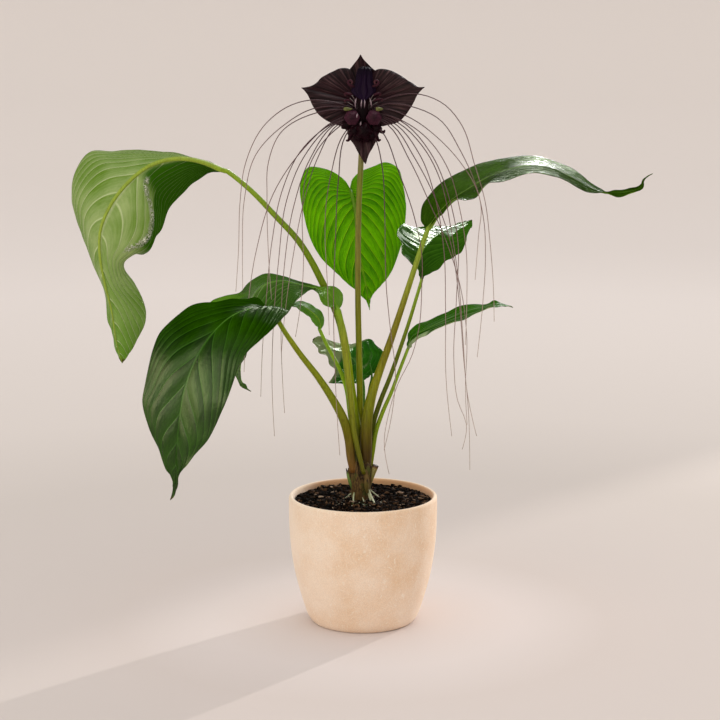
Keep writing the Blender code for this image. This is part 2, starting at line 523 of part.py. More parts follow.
def near(one, other):
    """Whether the two pieces' boxes come within a gap of each other."""
    graph = bpy.context.evaluated_depsgraph_get()
    boxes = []
    for piece in (one, other):
        corners = np.array([v.co for v in piece.evaluated_get(graph).data.vertices])
        boxes.append((corners.min(axis=0) - GAP * MM, corners.max(axis=0) + GAP * MM))
    return bool(np.all(boxes[0][0] < boxes[1][1]) and np.all(boxes[1][0] < boxes[0][1]))


def grown(piece):
    """A copy of the piece, swollen all round by the gap that its neighbours keep from it."""
    cutter = piece.copy()
    cutter.data = piece.data.copy()
    cutter.name = "cutter"
    cutter.hide_render = True
    cutter.display_type = "WIRE"
    bpy.context.scene.collection.objects.link(cutter)
    swell = cutter.modifiers.new("gap", "DISPLACE")
    swell.strength = CUT_GAP * MM
    swell.mid_level = 0
    settle(cutter)
    return cutter


def cut_back(piece, cutters):
    """Cuts the piece back from its neighbours, so that only a fine gap is left between them."""
    for cutter in cutters:
        if not near(piece, cutter):
            continue
        cut = piece.modifiers.new("cut", "BOOLEAN")
        cut.operation = "DIFFERENCE"
        cut.solver = "MANIFOLD"  # the exact solver loses the thin sheets
        cut.object = cutter
        settle(piece)
        keep_largest(piece)


def join(main, others):
    """Fuses the others into the main piece by one union."""
    group = bpy.data.collections.new("fused")
    for other in others:
        group.objects.link(other)
    union = main.modifiers.new("union", "BOOLEAN")
    union.operation = "UNION"
    union.operand_type = "COLLECTION"
    union.collection = group
    settle(main)
    for other in others:
        bpy.data.objects.remove(other)
    bpy.data.collections.remove(group)
    keep_largest(main)


def pot_wall():
    """The pot's inner side as radius and height, from the lip down to the floor."""
    side = [(r - POT_WALL, z) for r, z in POT_SIDE[2::2]]
    return [(side[0][0] - POT_WALL, POT_FLOOR)] + side


def build_pot():
    outer_r, shoulder = POT_SIDE[-1]
    lip = POT_HEIGHT - shoulder
    half = POT_WALL / 2
    turns = [math.radians(a) for a in (45, 90, 135)]
    rounded = [(outer_r - half + half * math.cos(a), shoulder + lip * math.sin(a)) for a in turns]
    profile = [(0, 0), (POT_FOOT_RADIUS, 0), *POT_SIDE, *rounded, *reversed(pot_wall()), (0, POT_FLOOR)]
    return turned("pot", profile, "clay", POT_SEGMENTS)


def build_soil():
    """The soil fills the pot, with a bumpy top and a plain hole for the crown."""
    rng = random.Random(7)
    wall = [(r - GAP, z) for r, z in pot_wall() if z < SOIL_LEVEL - 4]
    wall[0] = (wall[0][0] - GAP, POT_FLOOR + GAP)
    edge = POT_SIDE[-1][0] - POT_WALL - GAP
    rings = [(HOLE_RADIUS, HOLE_BOTTOM, 1), (HOLE_RADIUS, SOIL_LEVEL, 1)]
    for k in range(1, SOIL_RINGS + 1):
        part = (k / SOIL_RINGS) ** 0.8
        rings.append((HOLE_RADIUS + (edge - HOLE_RADIUS) * part, SOIL_LEVEL, 1 - part))
    rings += [(r, z, 0) for r, z in reversed(wall)]
    points = [(CROWN_ACROSS, 0, HOLE_BOTTOM), (0, 0, POT_FLOOR + GAP)]
    for r, z, off in rings:
        for k in range(POT_SEGMENTS):
            angle = 2 * math.pi * k / POT_SEGMENTS
            bump = SOIL_BUMP * rng.uniform(-1, 1) if z == SOIL_LEVEL else 0
            points.append((CROWN_ACROSS * off + r * math.cos(angle), r * math.sin(angle), z + bump))
    n = POT_SEGMENTS
    faces = [(0, 2 + k, 2 + (k + 1) % n) for k in range(n)]
    for s in range(len(rings) - 1):
        for k in range(n):
            a, b = 2 + s * n + k, 2 + s * n + (k + 1) % n
            faces.append((a, b, b + n, a + n))
    last = 2 + (len(rings) - 1) * n
    faces += [(1, last + (k + 1) % n, last + k) for k in range(n)]
    return add_object("soil", mesh_from("soil", points, faces), "soil")


def build_crown():
    """The short upright rhizome with old leaf scars and the roots that run down from it onto the soil."""
    rng = random.Random(3)
    points = []
    for z, r in CROWN:
        for k in range(CROWN_SIDES):
            angle = 2 * math.pi * (k + 0.5 * (z % 2)) / CROWN_SIDES
            rough = r * (1 + CROWN_RELIEF * rng.uniform(-1, 1)) if SOIL_LEVEL < z < CROWN_SHOULDER else r
            points.append((CROWN_ACROSS + rough * math.cos(angle), rough * math.sin(angle), z))
    n = CROWN_SIDES
    faces = [tuple(range(n)), tuple((len(CROWN) - 1) * n + k for k in range(n))]
    for s in range(len(CROWN) - 1):
        for k in range(n):
            a, b = s * n + k, s * n + (k + 1) % n
            faces.append((a, b, b + n, a + n))
    crown = add_object("crown", mesh_from("crown", points, faces), "crown")
    cutter = grown(crown)
    roots = [add_tube("root", path, (r, r, r * 0.6), "crown", 5, 5) for path, r in ROOTS]
    join(crown, roots)
    return cutter


def build_flower_head():
    """The core with its buds, small open flowers and whiskers, all grown from it."""
    core = add_ball("flowers_and_whiskers", *CORE, "flower", 12, 9)
    grown = [add_ball("fold", *UPPER_FOLD, "flower")]
    heart = CORE[0]
    for place, radius in BUDS:
        grown.append(add_ball("bud", place, (radius, radius, radius * 1.1), "flower"))
        half = [(a + b) / 2 for a, b in zip(heart, place)]
        root = (heart[0], heart[1], min(max(place[2], heart[2] - 10), heart[2] + 10))
        grown.append(add_tube("bud_stalk", (root, half, place), (1.6, 1.3, 1.3), "flower", 5, 3))
    grown += [add_tube("petal", path, CURLED_RADII, "flower", 6, 5) for path in CURLED_ENDS]
    for path in WHISKERS:
        grown.append(add_tube("whisker", path, WHISKER_RADII, "flower", WHISKER_SIDES, WHISKER_STEPS))
    join(core, grown)
    return core


def main():
    clear_scene()
    build_pot()
    build_soil()
    cutters = [build_crown()]
    leaves = {}
    for name, lines in LEAVES.items():
        leaves[name] = grown(blade(f"leaf_{name}", lines, "leaf", BLADE_THICKNESS, RIB_THICKNESS))
    head = grown(build_flower_head())
    for name, lines in BRACTS.items():
        bract = blade(f"bract_{name}", lines, "bract", BRACT_THICKNESS, BRACT_THICKNESS)
        settle(bract)
        cut_back(bract, [head])
    for side, place in STIGMAS.items():
        cut_back(add_ball(f"stigma_{side}", place, STIGMA_RADII, "stigma", 8, 6), [head])
    for name, (path, radii) in {"sheath_stub": SHEATH_STUB, "cut_stub": CUT_STUB}.items():
        stub = add_tube(name, path, radii, "stalk", STALK_SIDES, 5)
        around = grown(stub)
        cut_back(stub, cutters)
        cutters.append(around)
    ends = {**leaves, "flower": head}
    for name in STALK_ORDER:
        title = {"flower": "flower_stalk", "young": "young_leaf"}.get(name, f"stalk_{name}")
        stalk = add_tube(title, STALKS[name], STALK_RADII[name], "stalk")
        around = grown(stalk)
        cut_back(stalk, cutters + [ends[name]] if name in ends else cutters)
        cutters.append(around)
    for cutter in cutters + list(ends.values()):
        bpy.data.objects.remove(cutter)


main()
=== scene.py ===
"""The potted bat flower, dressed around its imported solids: the clay pot, its soil with roots and crumbs,
the glossy pleated leaves on their stalks, and the dark flower head with its bracts and whiskers."""

import functools
import json
import math
import random

import bpy
import numpy as np
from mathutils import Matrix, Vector, noise

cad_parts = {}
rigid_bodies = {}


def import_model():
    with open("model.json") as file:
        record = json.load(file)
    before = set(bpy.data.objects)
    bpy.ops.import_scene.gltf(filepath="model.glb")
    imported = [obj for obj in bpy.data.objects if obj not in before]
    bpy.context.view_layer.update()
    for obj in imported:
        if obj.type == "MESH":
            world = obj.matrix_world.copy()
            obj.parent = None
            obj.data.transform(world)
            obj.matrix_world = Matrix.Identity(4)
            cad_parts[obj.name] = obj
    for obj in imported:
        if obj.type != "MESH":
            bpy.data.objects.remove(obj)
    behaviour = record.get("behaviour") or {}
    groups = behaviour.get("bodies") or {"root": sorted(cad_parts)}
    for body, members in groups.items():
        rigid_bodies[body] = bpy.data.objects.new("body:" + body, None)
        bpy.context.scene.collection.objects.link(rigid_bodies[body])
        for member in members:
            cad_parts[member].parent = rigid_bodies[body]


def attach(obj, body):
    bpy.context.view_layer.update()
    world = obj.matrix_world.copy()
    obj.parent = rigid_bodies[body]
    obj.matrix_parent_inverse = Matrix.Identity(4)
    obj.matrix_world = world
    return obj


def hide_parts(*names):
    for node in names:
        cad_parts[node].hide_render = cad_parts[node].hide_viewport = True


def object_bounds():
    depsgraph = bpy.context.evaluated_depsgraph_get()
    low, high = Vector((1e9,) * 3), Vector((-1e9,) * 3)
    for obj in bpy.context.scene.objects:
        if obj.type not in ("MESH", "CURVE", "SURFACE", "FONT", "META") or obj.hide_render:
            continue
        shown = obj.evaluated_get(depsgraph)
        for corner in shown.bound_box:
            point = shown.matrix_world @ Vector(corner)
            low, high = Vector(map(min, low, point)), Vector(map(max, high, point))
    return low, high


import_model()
cad_box = [list(corner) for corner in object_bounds()]

MM = 0.001
SEED = 11

# The blades' outlines as the solids have them, in mm: across (X), back (Y) and up (Z). The left margin, the rib
# and the right margin all run from the base to the tip, and a fold lies between the rib and the margin
LEAVES = {
    "far_left": {
        "ends": ((-133, 0, 456), (-237, -30, 270)),
        "left": ((-154, 6, 466), (-176, 14, 471), (-212, 26, 474), (-247, 31, 475), (-272, 32, 474),
            (-287, 30, 453), (-291, 26, 431), (-284, 20, 406), (-272, 9, 370), (-258, -2, 344),
            (-250, -16, 306), (-243, -26, 280)),
        "rib": ((-160, -4, 467), (-189, -8, 468), (-208, -12, 462), (-227, -16, 448), (-247, -20, 423),
            (-256, -23, 401), (-257, -25, 380), (-253, -26, 352), (-246, -28, 321), (-242, -30, 291)),
        "right_fold": ((-158, 4, 458), (-182, 0, 450), (-204, -10, 436), (-205, -18, 415), (-211, -22, 393),
            (-227, -24, 381), (-241, -25, 370), (-241, -26, 352), (-231, -27, 323), (-232, -29, 295)),
        "right": ((-156, 10, 452), (-175, 20, 438), (-183, 24, 429), (-191, 24, 419), (-203, 20, 396),
            (-212, 12, 386), (-217, 2, 375), (-229, -8, 376), (-234, -15, 367), (-225, -14, 347),
            (-215, -14, 318), (-219, -20, 298), (-228, -26, 283)),
    },
    "lower_left": {
        "ends": ((-90, -62, 327), (-185, -100, 149)),
        "left": ((-97, -58, 334), (-114, -56, 338), (-133, -58, 338), (-150, -62, 335), (-173, -72, 327),
            (-192, -82, 312), (-201, -92, 294), (-206, -100, 262), (-209, -104, 246), (-202, -108, 218),
            (-191, -107, 190), (-182, -104, 170)),
        "rib": ((-104, -72, 331), (-123, -80, 326), (-146, -92, 306), (-160, -101, 283), (-170, -106, 255),
            (-175, -108, 224), (-178, -106, 190), (-180, -103, 166)),
        "right": ((-80, -56, 328), (-71, -58, 328), (-76, -66, 322), (-96, -84, 304), (-114, -97, 287),
            (-123, -106, 265), (-133, -112, 240), (-147, -114, 211), (-164, -110, 191), (-176, -105, 174),
            (-178, -102, 160)),
    },
    "mid_left": {
        "ends": ((-25, -10, 319), (-112, -6, 237)),
        "left": ((-32, -18, 324), (-39, -22, 328), (-42, -20, 336), (-46, -12, 340), (-57, -14, 337),
            (-65, -20, 332), (-75, -26, 320), (-89, -30, 311), (-103, -28, 297), (-115, -22, 281),
            (-121, -12, 264), (-120, -8, 246)),
        "rib": ((-29, -10, 330), (-37, -9, 339), (-47, -5, 341), (-63, 2, 344), (-83, 8, 347), (-101, 12, 341),
            (-115, 12, 322), (-123, 8, 292), (-125, 2, 266), (-122, -4, 246)),
        "right": ((-20, -8, 328), (-21, -7, 337), (-28, -7, 343), (-38, -8, 343), (-46, -2, 342),
            (-63, 12, 346), (-81, 24, 350), (-99, 34, 351), (-115, 42, 340), (-125, 50, 328), (-141, 56, 325),
            (-156, 54, 319), (-159, 44, 302), (-148, 30, 278), (-132, 10, 258), (-122, -2, 242)),
    },
    "small_left": {
        "ends": ((-43, 6, 297), (-78, 2, 321)),
        "left": ((-47, 0, 303), (-53, -3, 311), (-61, -4, 318), (-69, -2, 322)),
        "rib": ((-44, 5, 308), (-51, 4, 316), (-60, 4, 322), (-69, 4, 324)),
        "right": ((-39, 10, 304), (-40, 15, 311), (-47, 18, 318), (-55, 18, 323), (-65, 14, 325),
            (-72, 8, 325)),
    },
    "torn": {
        "ends": ((0, 45, 239), (-51, 44, 282)),
        "left": ((-11, 44, 235), (-26, 40, 237), (-36, 36, 238), (-29, 40, 244), (-28, 42, 251), (-34, 42, 257),
            (-38, 42, 264), (-45, 42, 269), (-46, 42, 275), (-51, 42, 277)),
        "rib": ((-4, 52, 249), (-11, 56, 260), (-22, 56, 266), (-34, 52, 271), (-44, 48, 277)),
        "right": ((12, 40, 248), (18, 42, 258), (21, 48, 268), (13, 56, 274), (8, 64, 279), (-2, 70, 276),
            (-13, 70, 271), (-24, 66, 274), (-36, 58, 279), (-43, 50, 284)),
    },
    "heart": {
        "ends": ((-13, 52, 434), (7, 56, 310)),
        "left": ((-17, 54, 441), (-25, 57, 448), (-42, 62, 455), (-56, 65, 455), (-63, 67, 440), (-63, 68, 422),
            (-59, 68, 399), (-49, 67, 372), (-34, 65, 354), (-13, 61, 334), (1, 58, 323)),
        "rib": ((-9, 56, 418), (-6, 60, 392), (-3, 60, 363), (3, 58, 335)),
        "right": ((-11, 56, 443), (-3, 62, 451), (11, 67, 456), (23, 70, 460), (35, 72, 454), (41, 74, 439),
            (44, 75, 416), (40, 74, 380), (33, 71, 355), (24, 67, 340), (13, 61, 330), (8, 58, 320)),
    },
    "upper_right": {
        "ends": ((64, -5, 400), (285, 0, 454)),
        "left": ((58, 6, 406), (58, 14, 415), (64, 24, 430), (74, 31, 439), (87, 35, 447), (115, 38, 459),
            (147, 36, 469), (177, 32, 468), (204, 24, 458), (227, 12, 444), (240, 3, 436), (248, 8, 437),
            (262, 6, 438), (274, 1, 444), (277, 0, 449)),
        "rib": ((76, -8, 418), (88, -10, 430), (103, -11, 440), (119, -11, 450), (139, -10, 458),
            (163, -8, 463), (183, -6, 461), (203, -4, 452), (223, -2, 441), (240, 0, 435), (258, 0, 436),
            (274, 0, 442), (276, 0, 448)),
        "right": ((73, -20, 413), (80, -30, 423), (89, -35, 431), (100, -37, 431), (110, -37, 434),
            (115, -35, 442), (121, -33, 448), (132, -31, 450), (147, -28, 453), (167, -24, 456),
            (187, -19, 452), (207, -12, 443), (225, -7, 437), (240, -3, 435), (250, -7, 431), (262, -6, 434),
            (274, -1, 441), (277, 0, 448)),
    },
    "right_mid": {
        "ends": ((59, 25, 345), (114, 112, 397)),
        "left": ((53, 20, 358), (46, 16, 366), (40, 18, 374), (38, 26, 381), (34, 34, 389), (36, 46, 395),
            (43, 58, 399), (53, 66, 394), (69, 76, 394), (88, 90, 393), (103, 104, 395)),
        "rib": ((58, 27, 359), (60, 33, 373), (67, 44, 381), (77, 60, 388), (90, 82, 392), (103, 100, 394)),
        "right": ((67, 20, 353), (75, 20, 357), (84, 24, 364), (93, 34, 369), (100, 46, 372), (105, 62, 378),
            (108, 84, 386), (114, 104, 392)),
    },
    "lower_right": {
        "ends": ((45, 20, 275), (150, 8, 320)),
        "left": ((45, 26, 282), (46, 34, 290), (56, 42, 297), (73, 46, 304), (94, 44, 313), (109, 38, 319),
            (123, 30, 320), (132, 22, 324), (140, 14, 323)),
        "rib": ((49, 20, 287), (62, 20, 295), (82, 18, 305), (102, 16, 314), (122, 13, 320), (137, 10, 323)),
        "right": ((51, 8, 284), (62, -2, 294), (76, -10, 303), (96, -12, 310), (114, -9, 318), (126, -2, 321),
            (139, 5, 322)),
    },
}
# The stalks' centre lines, from the crown up
STALKS = {
    "far_left": ((-3, 2, 155), (-5, 3, 185), (-9, 4, 214), (-13, 4, 242), (-17, 4, 275), (-23, 3, 306),
        (-31, 2, 327), (-39, 1, 343), (-51, 0, 367), (-62, 0, 385), (-87, 0, 413), (-111, 0, 438),
        (-125, 0, 450), (-132.6, 0, 455.7)),
    "mid_left": ((1, -12, 154), (-4, -12, 174), (-10, -11, 203), (-12, -10, 229), (-15, -9, 254),
        (-18, -9, 280), (-21, -10, 302), (-25, -10, 319)),
    "lower_left": ((-9, -7, 155), (-12, -8, 169), (-14, -9, 188), (-20, -12, 211), (-30, -17, 231),
        (-44, -27, 255), (-62, -42, 282), (-76, -56, 306), (-84, -62, 320), (-90, -62, 327)),
    "small_left": ((-7, 6, 156), (-10, 9, 184), (-13, 10, 210), (-17, 9, 238), (-23, 8, 256), (-31, 7, 272),
        (-38, 6, 286), (-43, 6, 297)),
    "torn": ((0.5, 9.5, 149), (1.5, 17, 173), (1, 25, 201), (1, 34, 220), (1, 42, 231), (0, 45, 239)),
    "heart": ((-7.5, 8.5, 150), (-6, 15, 174), (-4, 22, 223), (-4, 26, 263), (-5, 31, 304), (-5, 37, 354),
        (-6, 43, 394), (-9, 49, 420), (-13, 52, 434)),
    "upper_right": ((2, -3, 154), (3, -3, 182), (4, -3, 207), (8, -3, 230), (16, -3, 256), (26, -4, 284),
        (36, -4, 314), (45, -4, 342), (52, -4, 364), (59, -5, 386), (64, -5, 400)),
    "right_mid": ((5, 5, 151), (8, 8, 176), (11, 10, 203), (17, 12, 222), (27, 15, 247), (37, 18, 275),
        (47, 21, 305), (54, 24, 328), (59, 25, 345)),
    "lower_right": ((6.5, 1, 152), (10, 1, 176), (13, 3, 194), (20, 6, 214), (29, 10, 234), (37, 15, 255),
        (45, 20, 275)),
    "flower": ((-1, 8, 153), (-2, 9, 184), (-3, 8, 226), (-4, 6, 277), (-5, 5, 328), (-5, 4, 378), (-4, 3, 428),
        (-2, 3, 467), (-0.6, 2.6, 506)),
    "young": ((4, 8.5, 150), (4.5, 18, 184), (5, 23, 217), (7, 24, 235), (9, 25, 247), (8, 25, 255),
        (7, 25, 260)),
}
# Their radii in mm, evenly spaced along them
STALK_RADII = {
    "far_left": (5.2, 5.2, 4.8, 4.2, 3.8, 3.4, 3, 2.7, 2.4),
    "mid_left": (2.2, 2.6, 2.9, 3, 3.1, 3.3, 3.4),
    "lower_left": (4.2, 4.6, 4.6, 3.8, 3.2, 2.8, 2.5, 2.2),
    "small_left": (2, 2.4, 2.4, 2.1, 1.9, 1.8),
    "torn": (1.6, 1.5, 1.4, 1.3),
    "heart": (2.2, 2.3, 2.2, 2, 1.8),
    "upper_right": (6, 6.4, 5.4, 4.2, 3.6, 3.2, 2.9, 2.6, 2.3),
    "right_mid": (2.2, 2.6, 2.5, 2.2, 2, 1.8, 1.6),
    "lower_right": (2.4, 2.4, 2.2, 1.9, 1.7, 1.6),
    "flower": (3, 3.2, 3.2, 3, 2.9, 2.9, 2.8, 2.7),
    "young": (1.2, 1.5, 2.3, 1.7, 0.5),
}
# Their colours, from the crown (0) to the blade (0.5) and along the midrib to the tip (1)
STALK_STOPS = {
    "far_left": ((0, "55480A"), (0.05, "676A0A"), (0.1, "859A0A"), (0.16, "93AC0C"), (0.24, "72870E"),
        (0.36, "6E8A11"), (0.5, "8AA824"), (0.6, "96AC3A"), (0.8, "94AC3C"), (1, "86A038")),
    "lower_left": ((0, "7A5428"), (0.04, "765C26"), (0.1, "6C660C"), (0.2, "7F891B"), (0.4, "85901A"),
        (0.5, "728E17"), (0.6, "477A12"), (1, "396B0E")),
    "mid_left": ((0, "605E13"), (0.1, "6E7115"), (0.25, "878E1F"), (0.4, "929A2B"), (0.46, "8BA12A"),
        (0.52, "73A01A"), (0.7, "558A13"), (1, "466A11")),
    "small_left": ((0, "6F6312"), (0.1, "738013"), (0.3, "97C01E"), (0.5, "92BD30"), (1, "93BC37")),
    "torn": ((0, "554A12"), (0.2, "517410"), (0.5, "467A11"), (1, "588A23")),
    "heart": ((0, "554A12"), (0.1, "607010"), (0.5, "588A0A"), (0.7, "73A813"), (1, "679E0E")),
    "upper_right": ((0, "382608"), (0.04, "4A390A"), (0.08, "605708"), (0.13, "73790E"), (0.19, "868818"),
        (0.27, "787117"), (0.33, "817C1D"), (0.39, "8D962A"), (0.45, "8EA534"), (0.5, "88A532"),
        (0.6, "63881E"), (0.75, "527D15"), (1, "557A13")),
    "right_mid": ((0, "554A0C"), (0.1, "58600A"), (0.3, "66740E"), (0.4, "80981D"), (0.5, "8DB030"),
        (0.56, "497E13"), (0.7, "2B5E06"), (1, "2B5A06")),
    "lower_right": ((0, "746E0E"), (0.1, "788F09"), (0.25, "7C9611"), (0.4, "87A822"), (0.5, "8BAE2B"),
        (0.6, "679A1D"), (1, "557A16")),
    "flower": ((0, "4A3A12"), (0.04, "66600A"), (0.09, "828A0A"), (0.15, "7C8812"), (0.22, "787A1C"),
        (0.34, "7E7A34"), (0.42, "727A24"), (0.46, "8E845A"), (0.5, "6A5A48")),
    "young": ((0, "464A08"), (0.3, "2B5A0A"), (0.7, "468413"), (1, "67A818")),
}
# The bracts' outlines, given as the blades' are
BRACTS = {
    "left": {
        "ends": ((-2, 7, 523.5), (-60, -5, 538)),
        "left": ((-6, 8, 537), (-9, 9, 548.5), (-13, 9, 555.5), (-21, 7, 556.5), (-30.5, 5, 552.5),
            (-39.5, 2, 548), (-48.5, -1, 540.5), (-55.5, -3, 538)),
        "rib": ((-13, 6, 526.5), (-27.5, 4, 530.5), (-42, 1, 534.5), (-53.5, -3, 537)),
        "right": ((-5, 5, 513), (-11, 2, 503.5), (-17.5, 0, 499.5), (-25.5, -1, 501.5), (-34, -2, 505),
            (-43.5, -3, 512), (-50, -3, 522), (-54.5, -4, 532)),
    },
    "right": {
        "ends": ((2, 7, 523.5), (60, -5, 538.5)),
        "left": ((4, 5, 513), (9, 2, 504.5), (15.5, 0, 500.5), (26, -1, 502), (33.5, -2, 504),
            (42.5, -3, 512.5), (49, -3, 523), (53.5, -4, 532)),
        "rib": ((12.5, 6, 526.5), (27.5, 4, 530.5), (42, 1, 535), (53.5, -3, 538)),
        "right": ((5, 8, 537), (8, 9, 547.5), (12.5, 9, 554), (26, 7, 554.5), (36, 5, 550), (45.5, 2, 543),
            (53, -1, 538.5), (56.5, -3, 538)),
    },
    "top": {
        "ends": ((0, 5, 525.5), (-2.5, 10, 569.5)),
        "left": ((-7, 12, 533), (-14, 14.5, 544.5), (-15, 15.5, 552.5), (-11, 15, 557.5), (-6.5, 13.5, 563)),
        "rib": ((-0.5, 13, 539), (-1.5, 14, 554.5)),
        "right": ((7, 12, 533), (13.5, 14.5, 543.5), (15.5, 15.5, 551.5), (10.5, 15, 555), (3.5, 13.5, 561)),
    },
    "low": {
        "ends": ((-0.5, -1, 508.5), (2.5, -9, 464)),
        "left": ((-9, -2.5, 502.5), (-15.5, -4, 496), (-13.5, -5.5, 489), (-9.5, -7, 484), (-3, -9, 472)),
        "rib": ((-0.5, -3.5, 493), (1, -8.5, 478.5)),
        "right": ((8.5, -2.5, 502.5), (15.5, -4, 496), (13.5, -5.5, 488), (11, -7, 483), (6, -9, 474)),
    },
}
# The whiskers' paths, from the flower head outwards and down
WHISKERS = (
    ((-5, -3, 516), (-28, -7, 524), (-52, -10, 526), (-71, -17, 521), (-95, -25, 503), (-114, -31, 465),
     (-119, -33, 431), (-121, -35, 383), (-124, -36, 342)),
    ((-5, -3, 515), (-27, -7, 520), (-48, -11, 518), (-76, -20, 503), (-104, -29, 474), (-115, -34, 431),
     (-117, -38, 383), (-117, -40, 344)),
    ((-5, -3, 514), (-22, -7, 517), (-45, -12, 514), (-80, -22, 495), (-92, -29, 465), (-93, -33, 436),
     (-92, -38, 383), (-89, -42, 335)),
    ((-5, -3, 513), (-31, -12, 503), (-61, -25, 477), (-78, -34, 441), (-88, -40, 393), (-94, -46, 335),
     (-98, -48, 286), (-100, -48, 240)),
    ((-5, -4, 512), (-29, -12, 503), (-58, -23, 471), (-74, -32, 431), (-82, -38, 373), (-87, -44, 315),
     (-89, -46, 256), (-87, -46, 200)),
    ((-5, -4, 511), (-27, -12, 503), (-52, -22, 469), (-67, -30, 426), (-77, -36, 363), (-80, -42, 305),
     (-79, -44, 261), (-77, -44, 223)),
    ((-4, -4, 510), (-25, -11, 502), (-44, -19, 471), (-57, -27, 431), (-69, -33, 371), (-77, -37, 314),
     (-80, -39, 280)),
    ((-4, -4, 509), (-19, -12, 493), (-31, -21, 456), (-36, -26, 426), (-37, -30, 397), (-35, -34, 353),
     (-33, -36, 299)),
    ((-5, -4, 511), (-24, -12, 500), (-44, -22, 479), (-55, -27, 455), (-59, -32, 416), (-58, -36, 368),
     (-61, -38, 329), (-66, -40, 298)),
    ((-5, -3, 514), (-30, -13, 505), (-55, -27, 483), (-85, -39, 441), (-103, -47, 384), (-112, -50, 326),
     (-116, -50, 265)),
    ((-3, -5, 509), (-17, -12, 492), (-24, -19, 449), (-27, -23, 391), (-29, -25, 332), (-28, -27, 273),
     (-26, -28, 223), (-23, -29, 177)),
    ((5, -3, 517), (30, -7, 530), (53, -11, 532), (79, -22, 522), (95, -31, 503), (107, -43, 466),
     (117, -48, 432), (122, -50, 394), (126, -52, 346), (127, -52, 315)),
    ((5, -3, 516), (28, -8, 523), (47, -12, 520), (74, -24, 508), (93, -39, 480), (108, -47, 447),
     (116, -50, 413), (118, -50, 375), (116, -52, 336), (111, -52, 280)),
    ((5, -3, 515), (26, -8, 517), (42, -12, 511), (74, -29, 489), (95, -42, 466), (108, -48, 445),
     (113, -50, 428), (111, -52, 399), (108, -54, 356)),
    ((5, -3, 514), (33, -13, 505), (60, -29, 479), (76, -43, 446), (84, -48, 408), (92, -52, 356),
     (97, -54, 297), (101, -54, 248), (111, -54, 202)),
    ((5, -3, 513), (30, -12, 504), (55, -28, 474), (70, -42, 432), (78, -46, 384), (80, -48, 326),
     (81, -50, 257), (87, -50, 201)),
    ((5, -4, 512), (27, -12, 503), (50, -26, 471), (68, -41, 437), (85, -46, 389), (93, -48, 335),
     (98, -50, 277), (103, -50, 227), (105, -50, 167)),
    ((5, -4, 511), (23, -11, 503), (45, -24, 469), (65, -40, 427), (80, -44, 393), (95, -45, 345),
     (101, -47, 296), (100, -48, 247), (102, -48, 212)),
    ((5, -3, 515), (35, -14, 507), (66, -35, 475), (83, -49, 433), (91, -53, 394), (90, -56, 337),
     (88, -57, 278), (92, -57, 238), (101, -56, 213), (97, -56, 189)),
    ((3, -5, 507), (13, -12, 487), (19, -17, 459), (21, -21, 420), (23, -24, 342), (27, -25, 302),
     (32, -25, 257), (30, -24, 227), (21, -23, 181)),
    ((4, -4, 509), (19, -12, 495), (34, -23, 459), (49, -35, 417), (57, -39, 378), (57, -39, 344),
     (55, -38, 309), (48, -36, 279), (34, -33, 249), (25, -31, 218), (21, -30, 193), (26, -30, 158)),
    ((5, -3, 514), (32, -13, 509), (63, -28, 489), (82, -42, 461), (93, -51, 423), (99, -55, 385),
     (100, -58, 337), (99, -58, 293)),
)
# How each blade is dressed, as far as it isn't like PLAIN_LOOK:
# faces: 1 or -1, for which side of its lines is its upper side
# pleats: how high it stands between its side veins, on its left and on its right half, in mm
# wave: how far its margins wave, in mm
# veins: for each half, how many side veins there are in the length of the leaf, and how far along the leaf each
#   has run where it is a quarter, a half, three quarters and all of the way to the margin
# upper, under: the deep, mid and vein colours of its two sides; tip: a deeper, more saturated green of the
# underside near the tip
# gloss: how strongly its upper side mirrors, how rough its skin is and how strongly it is crinkled
# ridges: how many follow the side veins in a vein's spacing, how high they are and how high the wrinkles are
# patch: another colour, its spots (from and to along the leaf, from and to across it), how soft their edges are
# dull: spots where the skin mirrors nothing, how soft their edges are
# seam: a dry crinkled line with a painted highlight, white where its crinkles stand up, as places along and across
# the leaf
# rib: radii of the midrib near its base and half way along it, in mm
PLAIN_LOOK = {"faces": -1, "ridges": (5.0, 1.0, 1.6), "patch": ("000000", (), (0.04, 0.05)),
              "dull": ((), (0.06, 0.05)), "tip": None, "seam": None, "rib": None}
